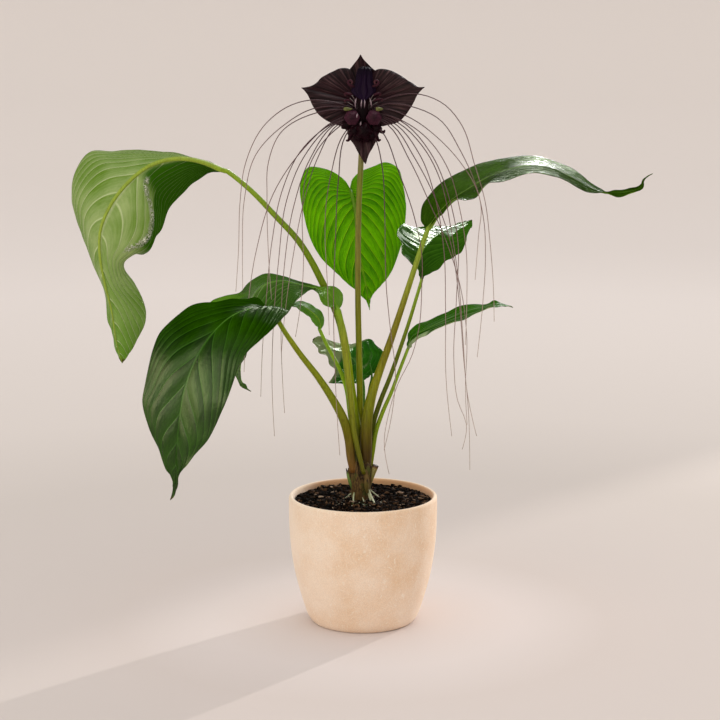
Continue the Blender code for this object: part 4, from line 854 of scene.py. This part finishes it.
def build_stalk(name):
    """The stalk and, past the blade's base, the midrib that it goes on as."""
    ways = np.linspace(0, 1, STALK_STEPS + 1)
    centres = along(STALKS[name], ways)
    radii = spread(STALK_RADII[name], ways)
    way = ways * 0.5
    if name in LEAVES:
        look = LOOKS[name]
        on = np.linspace(0, 1, RIB_STEPS + 1)
        near = blade_places(LEAVES[name], on, (-0.05, 0, 0.05))
        under = -look["faces"] * facing_of(np.gradient(near[:, 1], axis=0), near[:, 2] - near[:, 0])
        thick, half_way = look["rib"] or (min(radii[-1], 2.0) * 0.85, 0.95)
        rib_radius = np.interp(on, (0, 0.08, 0.5, 1), (radii[-1], thick, half_way, 0.3))
        sunk = np.interp(on, (0, 0.06), (0, 1)) * RIB_OFFSET
        rib = near[:, 1] + under * (rib_radius * sunk)[:, None]
        centres = np.vstack([centres[:-1], rib])
        radii = np.concatenate([radii[:-1], rib_radius])
        way = np.concatenate([way[:-1], 0.5 + 0.5 * on])
    piece = round_line(f"petiole_{name}", centres, radii, way, STALK_SIDES)
    node = {"flower": "flower_stalk", "young": "young_leaf"}.get(name, f"stalk_{name}")
    dress(piece, node, stalk_material(f"stalk {name} skin", STALK_STOPS[name]))


# ---------------------------------------------------------------- pot and soil

# The pot as radius and height in mm: its outer side up to the lip, its foot outwards, and its floor inwards
POT_SIDE = ((53.6, 2.2), (56, 6), (60, 17), (64.5, 32), (69, 50), (72.4, 70), (74.4, 92), (75, 112), (75, 126.5))
POT_FOOT = [(30, 0), (49.5, 0), (51, 0.15), (52.4, 0.9)]
POT_FLOOR = [(45, 8), (20, 8)]
POT_WALL = 4.8
LIP_RISE = 3.5  # of the rounded lip above the outer side
POT_SEGMENTS = 160
SOIL_LEVEL = 123.5  # mm, as all lengths here
SOIL_RADIUS = 70.0
SOIL_FOOT = 110  # How far down the soil goes, out of sight
CROWN_ACROSS = -2.5  # The crown stands a little left of the pot's axis
CRUMBS = 3400
CRUMB_LIMIT = 133  # The highest that a crumb reaches


def turned(name, profile, segments):
    """A closed turned body: a filled circle, extruded and resized from one step of its profile to the next."""
    radius, height = profile[0]
    bpy.ops.mesh.primitive_circle_add(vertices=segments, radius=radius * MM, fill_type="NGON",
                                      location=(0, 0, height * MM))
    piece = named(name)
    only(piece)
    bpy.ops.object.mode_set(mode="EDIT")
    bpy.ops.mesh.select_all(action="SELECT")
    for next_radius, next_height in profile[1:]:
        bpy.ops.mesh.extrude_region_move(TRANSFORM_OT_translate={"value": (0, 0, (next_height - height) * MM)})
        share = next_radius / radius
        bpy.ops.transform.resize(value=(share, share, 1), center_override=(0, 0, next_height * MM))
        radius, height = next_radius, next_height
    bpy.ops.object.mode_set(mode="OBJECT")
    mend(piece, True)
    return piece


def build_pot():
    side = along([(r, 0, z) for r, z in POT_SIDE], np.linspace(0, 1, 40))[:, [0, 2]]
    rim, shoulder = POT_SIDE[-1]
    half = POT_WALL / 2
    lip = [(rim - half + half * math.cos(a), shoulder + LIP_RISE * math.sin(a))
           for a in np.linspace(0.15, math.pi - 0.15, 12)]
    inner = [(r - POT_WALL, z) for r, z in reversed(side) if z < shoulder - 0.5][::3]
    profile = [*POT_FOOT, *map(tuple, side), *lip, *inner, *POT_FLOOR]
    dress(turned("clay_pot", profile, POT_SEGMENTS), "pot", clay_material())


def soil_height(x, y):
    """The lumpy top of the soil, in mm."""
    lumps = noise.fractal(Vector((x / 14, y / 14, 3.1)), 1.0, 2.0, 4) * 1.6
    fine = noise.noise(Vector((x / 3, y / 3, 7.7))) * 0.7
    mound = 2.0 * math.exp(-((x - CROWN_ACROSS) ** 2 + y**2) / 18**2)
    return SOIL_LEVEL + lumps + fine + mound


def build_soil():
    rings = np.concatenate([[0], np.linspace(1, SOIL_RADIUS - 0.3, 64)])
    angles = np.linspace(0, 2 * math.pi, 161)
    top = np.zeros((len(rings), len(angles), 3))
    for i, r in enumerate(rings):
        for k, a in enumerate(angles[:-1]):
            x, y = r * math.cos(a), r * math.sin(a)
            top[i, k] = (x, y, soil_height(x, y))
        top[i, -1] = top[i, 0]
    rim = top[-1].copy()
    rim[:, 2] = SOIL_FOOT
    places = np.concatenate([top, rim[None], rim[None] * (0, 0, 1)])
    dress(lay("potting_soil", places, True), "soil", earth_material())


def chunk(rng, detail):
    """A small irregular lump of unit size, as points and faces."""
    bpy.ops.mesh.primitive_ico_sphere_add(subdivisions=detail, radius=1)
    piece = bpy.context.object
    shift = Vector([rng.uniform(-50, 50) for _ in range(3)])
    points = []
    for v in piece.data.vertices:
        out = v.co.normalized()
        bulge = 1 + 0.8 * noise.noise(out * 1.3 + shift) + 0.4 * noise.noise(out * 3.1 + shift)
        points.append(tuple(out * bulge))
    faces = [tuple(p.vertices) for p in piece.data.polygons]
    bpy.data.objects.remove(piece)
    return np.array(points), faces


def scatter(name, lumps, count, rng, spot, sizes, flat, sink):
    """Copies of a few lumps, each turned, sized and set on the soil, as one mesh."""
    points, faces, tone = [], [], []
    for _ in range(count):
        shape, sides = lumps[rng.randrange(len(lumps))]
        x, y = spot(rng)
        size = sizes[0] + (sizes[1] - sizes[0]) * rng.random() ** 2.2
        scale = np.array([size, size * rng.uniform(0.3, 1), size * rng.uniform(*flat)])
        turn, lean = rng.uniform(0, 2 * math.pi), rng.uniform(-0.5, 0.5)
        c, s, cl, sl = math.cos(turn), math.sin(turn), math.cos(lean), math.sin(lean)
        spin = np.array([[c, -s * cl, s * sl], [s, c * cl, -c * sl], [0, sl, cl]])
        placed = (shape * scale) @ spin.T + (x, y, soil_height(x, y) + sink * size)
        placed[:, 2] = np.minimum(placed[:, 2], CRUMB_LIMIT)
        faces.extend(tuple(len(points) + k for k in side) for side in sides)
        points.extend(placed)
        tone.extend([rng.uniform(0, 1)] * len(shape))
    mesh = bpy.data.meshes.new(name)
    mesh.from_pydata((np.array(points) * MM).tolist(), [], faces)
    mesh.attributes.new("way", "FLOAT", "POINT").data.foreach_set("value", tone)
    piece = bpy.data.objects.new(name, mesh)
    bpy.context.scene.collection.objects.link(piece)
    return piece


def on_soil(rng):
    """A place on the soil, clear of the crown and the pot's wall."""
    while True:
        r = (SOIL_RADIUS - 2.2) * math.sqrt(rng.random())
        a = rng.uniform(0, 2 * math.pi)
        x, y = r * math.cos(a), r * math.sin(a)
        if math.hypot(x - CROWN_ACROSS, y) > 10:
            return x, y


def by_crown(rng):
    """A place round the crown, most often in front of it."""
    a, r = rng.gauss(-1.75, 0.9), rng.uniform(10, 30)
    return CROWN_ACROSS + r * math.cos(a), r * math.sin(a)


def before_crown(rng):
    """A place in the moss in front of the crown."""
    return CROWN_ACROSS + rng.gauss(-2, 6), rng.gauss(-22, 4)


def build_crumbs():
    rng = random.Random(SEED)
    lumps = [chunk(rng, 1) for _ in range(7)] + [chunk(rng, 2) for _ in range(5)]
    # Damp and dull, nearly black, with some brown among them
    crumbs = toned_material("peat and bark crumbs", 0.85, (0, "040201"), (0.5, "100804"), (0.85, "24160C"),
                            (1, "664A34"), Specular_IOR_Level=0.03)
    # Flat and fibrous, from dark brown to the pale tan of fresh breaks
    chips = toned_material("composted bark chips", 0.8, (0, "120A05"), (0.6, "342214"), (0.88, "6E543E"),
                           (1, "BEA48C"), Specular_IOR_Level=0.05)
    # Small pale grains that catch the light round the crown
    grit = toned_material("washed grit and shell flecks", 0.7, (0, "7A7660"), (0.6, "A2A088"), (1, "C8C8B0"))
    # A soft olive growth in front of the crown
    moss = toned_material("moss", 0.9, (0, "16200A"), (0.6, "2A340E"), (1, "464E18"), Specular_IOR_Level=0.2)
    for name, made, shapes, count, spot, sizes, flat, sink in (
            ("soil_crumbs", crumbs, lumps, CRUMBS, on_soil, (0.6, 3.0), (0.4, 0.9), 0.1),
            ("bark_chips", chips, lumps, 520, on_soil, (0.8, 3.4), (0.14, 0.3), 0.45),
            ("pale_grit", grit, lumps[:4], 90, by_crown, (0.35, 1.1), (0.3, 0.8), 0.8),
            ("moss_tufts", moss, lumps[:4], 170, before_crown, (0.5, 1.5), (0.5, 0.9), 0.2)):
        dress(scatter(name, shapes, count, rng, spot, sizes, flat, sink), "soil", made)


# ---------------------------------------------------------------- crown and roots

# The crown, as height and radius in mm
CROWN = ((118, 6.4), (126, 6.8), (133, 7.6), (141, 9.0), (149, 10.2), (156, 10.4), (163, 9.4), (170, 7.0))
# Old leaf bases that wrap the crown: turn, lowest and highest point in mm, half their spread in degrees
SHIELDS = ((-125, 129, 176, 40), (-48, 126, 166, 40), (-84, 122, 148, 46), (-20, 124, 160, 40), (40, 122, 160, 50),
           (95, 123, 164, 55), (150, 121, 160, 50), (-165, 125, 158, 40), (-106, 119, 137, 34), (-62, 120, 139, 30))
# Paths in mm from the crown outwards, each with radii evenly spaced along it
ROOT_BUD = (((4.5, -9.5, 134), (3.6, -11, 141), (3.2, -11, 150), (2.8, -10, 158)), (1.6, 2.6, 2.8, 2.2, 1.2))
ROOTS = (
    (((3.5, -7, 141), (6, -9, 135), (9, -12, 129), (11.5, -16, 125)), (0.9, 1.3, 1.2, 0.9)),
    (((5, -9, 134), (6.5, -11, 130), (8.0, -15, 125)), (0.7, 0.8, 0.6)),
    (((-8, -5, 135), (-9.5, -8, 130), (-9.5, -11, 125)), (0.8, 0.9, 0.7)),
    (((-1, -8, 130), (0, -10, 127.5), (1, -13, 125)), (0.5, 0.5, 0.3)),
    (((6, 5, 134), (12, 6, 129), (17, 6, 125)), (0.7, 0.7, 0.4)),
    (((-9, 3, 132), (-14, 5, 128), (-18, 4, 125)), (0.7, 0.6, 0.4)),
    (((-4, 7, 133), (-5, 12, 128), (-4, 17, 125)), (0.7, 0.7, 0.4)),
)
SHEATH_STUB = (((-9, -3, 136), (-12.5, -4, 144), (-15, -4, 151), (-17, -4, 158)), (2.4, 2.6, 1.7, 0.3))
CUT_STUB = (((5, -2, 138), (8.0, -3, 147), (10.5, -3.5, 154), (13, -4, 161)), (2.2, 2.6, 2.7, 3.1))


def crown_radius(z):
    return np.interp(z, *zip(*CROWN))


def rhizome():
    """The upright rhizome, ringed, knotted and lobed by the scars of old leaves."""
    heights = np.linspace(CROWN[0][0], CROWN[-1][0], 70)
    angles = np.linspace(0, 2 * math.pi, 73)
    places = np.zeros((len(heights), len(angles), 3))
    for i, (z, r) in enumerate(zip(heights, crown_radius(heights))):
        for k, a in enumerate(angles[:-1]):
            ring = 0.35 * math.sin(z * 1.15 + 1.4 * math.sin(2 * a)) + 1.0 * noise.noise(
                Vector((3 * math.cos(a), 3 * math.sin(a), z / 7)))
            knots = 0.5 * noise.noise(Vector((9 * math.cos(a), 9 * math.sin(a), z / 2.5)))
            lobes = 0.5 * math.cos(5 * a + z / 9)
            rough = r + (ring + lobes + knots) * min(1, (z - 117) / 6)
            places[i, k] = (CROWN_ACROSS + rough * math.cos(a), rough * math.sin(a), z)
        places[i, -1] = places[i, 0]
    return lay("crown_rhizome", pointed(places), True)


def leaf_base(k, turn, low, high, spread_out):
    """An old leaf base that tapers to a point and laps over the next."""
    s = np.linspace(0, 1, 27)[:, None]
    u = np.linspace(-1, 1, 19)[None, :]
    z = low + (high - low) * s - 3.5 * s * (1 - s) * (u**2)
    out = 0.7 + 0.9 * s + 0.7 * (1 - u**2) * s
    half = math.radians(spread_out) * (1 - s**1.7) + 0.02
    angle = math.radians(turn) + u * half
    r = crown_radius(z) + out + 0.16 * np.sin(11 * u + 5 * s) + 0.25 * np.sin(9 * s + k)
    piece = lay(f"leaf_base_{k}", np.stack([CROWN_ACROSS + r * np.cos(angle), r * np.sin(angle), z], axis=2))
    thicken(piece, 1.1)
    return piece


def build_crown():
    dress(rhizome(), "crown", crown_material("corky rhizome skin", "140D05", "402C10", "5E4720", "34460C"))
    bases = joined("old_leaf_bases", [leaf_base(k, *shield) for k, shield in enumerate(SHIELDS)])
    dress(bases, "crown", crown_material("dry sheath", "1A1006", "523C18", "70582A", "42500E"))
    bud = rod("old_root_bud", *ROOT_BUD, 14, 30)
    dress(bud, "crown", crown_material("root bud skin", "2E220C", "665020", "7A6430", "5A521A"))


def build_roots_and_stubs():
    roots = [rod(f"root_{k}", path, radii, 9, 22) for k, (path, radii) in enumerate(ROOTS)]
    # Firm and matt, paler away from the crown
    dress(joined("roots", roots), "crown",
          toned_material("pale root skin", 0.6, (0, "7E8452"), (0.3, "A4AC80"), (1, "BEC4A4")))
    # Still green below, shrivelled and nearly black at its tip
    dress(rod("sheath_tip", *SHEATH_STUB, 14, 26), "sheath_stub",
          toned_material("withering sheath", 0.6, (0, "4A4A18"), (0.4, "50701C"), (0.75, "6C8830"),
                         (0.85, "3A3A1A"), (0.9, "1A140C"), (1, "0E0A08")))
    # Olive, with the brown scab of the cut at its end
    dress(rod("cut_leaf_base", *CUT_STUB, 14, 26), "cut_stub",
          toned_material("cut leaf base", 0.6, (0, "5A4A20"), (0.5, "7A7430"), (0.86, "948848"), (0.93, "6A4A24"),
                         (1, "3A2412")))


# ---------------------------------------------------------------- flower head

BRACT_ROWS = 80
BRACT_COLUMNS = 96
BRACT_SKIN = 0.5  # mm
BRACT_REACH = 60  # mm from its base to its tip
# Each bract: its piece, how many folds to half a turn, and how deep they are in mm
FOLDS = {"left": ("wing", 15, 0.9), "right": ("wing", 15, 0.9), "top": ("tongue", 9, 0.6),
         "low": ("tongue", 9, 0.6)}
# Place and radii of the core that all parts of the flower head grow from
CORE = ((-0.4, 1, 516), (9.5, 6, 19))
# Place and radius of the two upper buds, and of the low ones, which are darker and more ridged
BUDS = (((-10.8, -9, 509), 7.4), ((10.6, -9, 509), 7.4))
LOW_BUDS = (((-16.4, -7, 502), 5.2), ((13.0, -7, 498.5), 5.2), ((1.0, -9.5, 496), 8.2), ((-8.4, -8.5, 496), 5.2),
            ((8.8, -8.5, 491.5), 4.8), ((-4.5, -8.5, 490), 4.0), ((3.5, -9, 489), 4.0))
# Dark petals that curl out beside the low buds
CURLED_ENDS = (
    ((-10, -9, 499), (-12.5, -11, 492), (-14.7, -10, 487), (-16.4, -9, 487)),
    ((10, -9, 498), (13, -11, 492), (15.5, -10, 487), (17, -9, 488)),
    ((13, -8, 501), (17, -9, 496), (20, -9, 495), (21, -8, 497)),
)
# The folded cowl over the flowers, from its top to its point: height, half its width, middle, half its depth, back
COWL = ((558, 2.6, 1.5, 1.6, 2), (556, 6.0, 1.5, 3.0, 1), (550.5, 7.1, 1.2, 4.0, 0), (543, 7.6, 0.8, 4.2, -1.5),
        (538.5, 9.6, 0.4, 3.8, -2.2), (535, 11.0, 0.3, 3.2, -3), (531.5, 9.4, 0.3, 2.8, -3.8),
        (528.5, 5.2, 0.4, 2.4, -4.5), (526, 2.2, 0.5, 1.8, -5.0), (523.5, 0.3, 0.6, 0.4, -5.4))
# Small tepals, from where each springs to its rolled end
TEPALS = (
    ((-7, -2, 538), (-10.5, -5, 539.5), (-13.5, -6, 541), (-14.5, -5.5, 543.5), (-12.5, -5, 545),
     (-10.5, -5.5, 543.5), (-11.5, -6.5, 541.5)),
    ((7, -2, 538), (10.5, -5, 539.5), (14, -6, 541), (15, -5.5, 543.5), (13, -5, 545), (11, -5.5, 543.5),
     (12, -6.5, 541.5)),
    ((-9, -2, 530), (-12, -6, 531.5), (-15.5, -6, 532.5), (-18, -4.5, 531.5), (-17, -4, 530)),
    ((9, -2, 530), (12, -6, 531.5), (15, -6, 532.5), (17, -4.5, 531.5), (16, -4, 530)),
    ((-8, -4, 524), (-12, -7, 525.5), (-15.5, -7, 526), (-18, -5, 525), (-17, -5, 523.5)),
    ((8, -4, 524), (12, -7, 526), (16, -7, 527), (19, -5, 526), (18, -5, 524.5)),
)
FILAMENTS = (
    ((-6.6, -8, 517), (-7.6, -10.5, 521), (-7.4, -10.5, 525), (-6.2, -9, 528.5)),
    ((-1.7, -9, 518), (-1.8, -11, 521), (-1.6, -11, 524), (-1.2, -9, 527)),
    ((1.2, -9, 518), (1.5, -11, 521), (1.6, -11, 524), (1.2, -9, 527)),
    ((8.0, -8, 518), (8.0, -10.5, 521.5), (7.4, -10.5, 525), (6.2, -9, 528.5)),
    ((-6.6, -9, 508), (-6.0, -15.5, 511), (-5.2, -13, 514)),
    ((-2.4, -11, 501), (-2.4, -15, 503.5), (-2.0, -14, 506)),
)
# Dark threads that fan out beside the filaments
LASHES = (((-5, -6, 518), (-9, -9, 524), (-13, -8, 528)), ((-5, -6, 519), (-8, -9, 526), (-11, -8, 531)),
          ((-5, -6, 517), (-10, -9, 521), (-15, -8, 524)), ((5, -6, 518), (8, -9, 524), (12, -8, 528)),
          ((5, -6, 519), (7, -9, 526), (10, -8, 531)), ((5, -6, 517), (9, -9, 521), (14, -8, 524)))
# Place and radii of the stigma's two lobes
STIGMAS = {"left": ((-15.2, -11.8, 517.6), (4.2, 1.7, 1.8)), "right": ((15.5, -11.8, 517.6), (3.6, 1.7, 2.0))}


def build_bract(name):
    """A bract whose folds fan out from its base to its margin."""
    kind, veins, depth = FOLDS[name]
    rng = random.Random(f"{SEED} bract {name}")
    ways = np.linspace(0, 1, BRACT_ROWS + 1)
    columns = np.linspace(-1, 1, BRACT_COLUMNS + 1)
    across, way = np.meshgrid(columns, ways)
    places = blade_places(BRACTS[name], ways, columns)
    base, tip = np.array(BRACTS[name]["ends"], float)
    out, heading = places - base, tip - base
    turn = np.arctan2(out[..., 0] * heading[2] - out[..., 2] * heading[0],
                      out[..., 0] * heading[0] + out[..., 2] * heading[2])
    reach = np.linalg.norm(out, axis=2)
    fan = turn / math.pi * veins
    folds = np.abs(np.sin(math.pi * fan)) ** 0.8 - 0.5
    facing = facing_of(np.gradient(places, axis=0), np.gradient(places, axis=1))
    margin = np.clip((1 - np.abs(across)) / 0.15, 0, 1) ** 0.5
    lift = depth * folds * np.clip(reach / 12, 0, 1) * margin * np.clip((1 - way) / 0.1, 0, 1)
    lift = lift + 0.7 * np.abs(across) ** 4 * np.sin(19 * way + rng.uniform(0, 6)) * np.clip((1 - way) / 0.2, 0, 1)
    places = inside(places + facing * lift[:, :, None])
    piece = lay(f"{kind}_{name}", places, way=reach / BRACT_REACH, vein=fan)
    thicken(piece, BRACT_SKIN)
    return piece


def ball(name, place, radii, ridges, depth):
    """A bud: a ball with shallow ridges from its stalk to its closed tip."""
    s = np.linspace(0, math.pi, 25)[:, None]
    a = np.linspace(0, 2 * math.pi, 37)[None, :]
    r = np.sin(s) * (1 + depth * np.cos(ridges * a))
    places = np.stack([r * np.cos(a) * radii[0], -np.cos(s) * radii[1] + 0 * a, r * np.sin(a) * radii[2]], axis=2)
    return lay(name, places + np.array(place), True, way=s / math.pi + 0 * a)


def balls(name, buds, ridges, depth):
    """Round buds, as one object."""
    return joined(name, [ball(f"{name}_{k}", place, (r, r, r), ridges, depth) for k, (place, r) in enumerate(buds)])


def folded_cowl():
    """The cowl: an oval tube with deep folds down it, drawn to a point at the foot."""
    steps = np.linspace(0, 1, 45)[:, None]
    z, wide, middle, deep, back = (spread(column, steps) for column in zip(*COWL))
    a = np.linspace(0, 2 * math.pi, 97)[None, :]
    fold = 1 + 0.16 * np.cos(9 * a + 0.4 * np.sin(6 * steps))
    rings = (middle + wide * fold * np.cos(a), back + deep * fold * np.sin(a), z + 0 * a)
    places = pointed(np.stack(rings, axis=2))
    places[:, -1] = places[:, 0]
    return lay("folded_cowl", places, True, way=np.clip((560 - places[..., 2]) / 40, 0, 1))


def build_flower_head():
    skin = bract_material()
    for name in FOLDS:
        dress(build_bract(name), f"bract_{name}", skin)
    plum = bud_material("plum bud skin", "200E16", "482634", "583442")
    dark = bud_material("dark plum bud skin", "0A0306", "200A12", "3C1622")
    violet = bud_material("violet black petal", "08020C", "16061E", "241030")
    rosy = bud_material("red plum tepal", "1E0C12", "3A1C26", "583438")
    # Thin and smooth, dark at both ends and a dusty pink between them
    pale = toned_material("pale filament", 0.5, (0, "2E1C24"), (0.4, "7C6870"), (0.75, "9C8A90"), (1, "2E1C26"),
                          Specular_IOR_Level=0.05)
    # The same, nearly black to beyond its middle
    dusky = toned_material("dark filament", 0.5, (0, "1E1216"), (0.6, "3A2A2C"), (1, "6A5A54"))
    for piece, made in (
            (ball("flower_core", *CORE, 7, 0.05), dark),
            (balls("buds", BUDS, 6, 0.05), plum),
            (balls("low_buds", LOW_BUDS, 5, 0.14), dark),
            (folded_cowl(), violet),
            (rods("curled_tepals", TEPALS, (0.8, 1.1, 1.3, 1.2, 1.0, 0.6), 10, 30), rosy),
            (rods("curled_petals", CURLED_ENDS, (1.6, 1.9, 1.7, 0.9), 10, 22), dark),
            (rods("filaments", FILAMENTS, (0.4, 0.6, 0.7, 0.3), 10, 16), pale),
            (rods("lashes", LASHES, (0.4, 0.45, 0.3), 8, 14), dusky)):
        dress(piece, "flowers_and_whiskers", made)
    # Fleshy and satin, a yellow-green that is palest at its end
    fleshy = toned_material("yellow green stigma", 0.5, (0, "50542A"), (0.5, "727442"), (1, "84864E"),
                            Specular_IOR_Level=0.1)
    for side, (place, radii) in STIGMAS.items():
        dress(ball(f"stigma_lobe_{side}", place, radii, 3, 0.12), f"stigma_{side}", fleshy)
    # Wiry and satin, purple-brown at the flowers and straw-coloured at its hanging end
    wiry = toned_material("purple brown whisker", 0.5, (0, "341E26"), (0.2, "50363A"), (0.5, "7A605C"),
                          (1, "B09C90"), Specular_IOR_Level=0.15)
    dress(rods("whiskers", WHISKERS, (0.62, 0.5, 0.42, 0.36, 0.28), 6, 44), "flowers_and_whiskers", wiry)


# ---------------------------------------------------------------- stage, lights and camera

# The backdrop's profile, as radius and height in mm: it rises far out, and runs in flat to the middle
BACKDROP = ((9000, 3500), (8700, 2000), (8000, 900), (6800, 250), (5600, 20), (4800, 0), (2000, 0), (600, 0),
            (0.01, 0))
# Soft boxes that only the glossy skins mirror: the bright window and its panes behind, a skylight, broad
# warm sheets on the left and in front, and a small lamp overhead
SOFT_BOXES = (
    ("bright_window", (0.83, 2.05, 1.85), 12, "FFFFFF", 1.7, 1.0),
    ("low_pane", (0.62, 2.16, 1.65), 34, "FFFFFF", 0.6, 0.5),
    ("skylight", (0.54, 0.59, 2.32), 50, "FFFFFF", 0.8, 0.6),
    ("front_sheet", (-0.3, -2.0, 0.87), 20, "FFF8EC", 2.4, 1.3),
    ("high_pane", (1.18, 1.22, 2.36), 16, "FFFFFF", 0.34, 0.34),
    ("warm_wall", (-1.76, -1.60, 0.65), 34, "FFE8C0", 2.4, 2.0),
    ("ceiling_lamp", (0.36, -0.38, 1.9), 20, "FFFFFF", 0.3, 0.3),
)


def build_stage():
    """The backdrop, a paper sweep that stands all round."""
    angles = np.linspace(0, 2 * math.pi, 97)
    places = np.array([[(r * math.cos(a), r * math.sin(a), z) for a in angles] for r, z in BACKDROP])
    piece = lay("studio_floor", places)
    only(piece)
    bpy.ops.object.shade_smooth()
    # Matt paper with no shine. Its colour is painted light and shade: paler round the pot's foot as a painted pool
    # of light, darker as painted shade out to about 0.7 m, and a little paler where it rises, far behind
    made, shader, add = new_material("pale studio floor", 0.85, Specular_IOR_Level=0.0)
    away = add("VectorMath", {0: add("TexCoord", out="Object")}, "Value", operation="LENGTH")
    stops = ((0.02, "DFD6D3"), (0.031, "D6CCC7"), (0.045, "D4CBC6"), (0.08, "D3CBC5"), (0.13, "DDD5CF"),
             (0.3, "E7DFDA"), (0.9, "E6DED8"))
    feed(shader, {"Base Color": add("ValToRGB", {0: add("Math", {0: away, 1: 8.0}, operation="DIVIDE")},
                                    stops=stops)})
    piece.data.materials.append(made)


def aimed(name, kind, place, target, power, colour, **settings):
    """A light set at a place and turned towards another; it is never seen itself."""
    data = bpy.data.lights.new(name, kind)
    data.energy = power
    data.color = tint(colour)[:3]
    for key, value in settings.items():
        setattr(data, key, value)
    light = bpy.data.objects.new(name, data)
    bpy.context.scene.collection.objects.link(light)
    light.location = place
    light.rotation_euler = (Vector(target) - Vector(place)).to_track_quat("-Z", "Y").to_euler()
    light.visible_camera = False
    return light


def light_and_camera():
    world = bpy.data.worlds.new("soft studio light")
    bpy.context.scene.world = world
    world.use_nodes = True
    # The room is dark beyond its soft boxes, as the glossy leaves mirror it
    mirrored = add_node(world.node_tree, "LightPath", out="Is Glossy Ray")
    strength = add_node(world.node_tree, "MapRange", {"Value": mirrored, "To Min": 0.95, "To Max": 0.05})
    feed(world.node_tree.nodes["Background"], {"Color": "FFFCFA", "Strength": strength})
    # A low beam from behind on the right: its edge runs over the floor behind the pot
    aimed("low_sun", "SPOT", (4.63, 5.25, 1.88), (0.83, -0.75, 0), 1040, "FFF8F2",
          spot_size=math.radians(20), spot_blend=0.02, shadow_soft_size=0.06)
    # A warm light on the left and a weak window behind light everything
    aimed("side", "AREA", (-1.74, -1.57, 0.80), (0, 0, 0.3), 9, "FFF4E6", shape="RECTANGLE", size=1.9, size_y=0.8)
    aimed("window", "AREA", (0.81, 2.00, 1.80), (0, 0, 0.35), 5, "FFFFFF", shape="RECTANGLE", size=1.7, size_y=1.0)
    for name, place, power, colour, wide, high in SOFT_BOXES:
        box = aimed(name, "AREA", place, (0, 0, 0.35), power, colour, shape="RECTANGLE", size=wide, size_y=high)
        box.visible_diffuse = False
    data = bpy.data.cameras.new("camera")
    data.lens = 96.5
    data.sensor_width = 36
    camera = bpy.data.objects.new("camera", data)
    bpy.context.scene.collection.objects.link(camera)
    camera.location = (-0.003, -1.9, 0.604)
    camera.rotation_euler = (math.radians(90 - 10.03), 0, 0)
    bpy.context.scene.camera = camera
    bpy.context.scene.view_settings.view_transform = "Standard"


def clip_to(piece, box):
    """Keeps a piece's points inside the model's box."""
    points = np.empty(len(piece.data.vertices) * 3)
    piece.data.vertices.foreach_get("co", points)
    points = np.clip(points.reshape(-1, 3), box[0], box[1])
    piece.data.vertices.foreach_set("co", points.ravel())
    piece.data.update()


before = set(bpy.context.scene.objects)
for leaf in LEAVES:
    build_leaf(leaf)
for stalk in STALKS:
    build_stalk(stalk)
build_pot()
build_soil()
build_crumbs()
build_crown()
build_roots_and_stubs()
build_flower_head()
for new in set(bpy.context.scene.objects) - before:
    clip_to(new, cad_box)
build_stage()
light_and_camera()
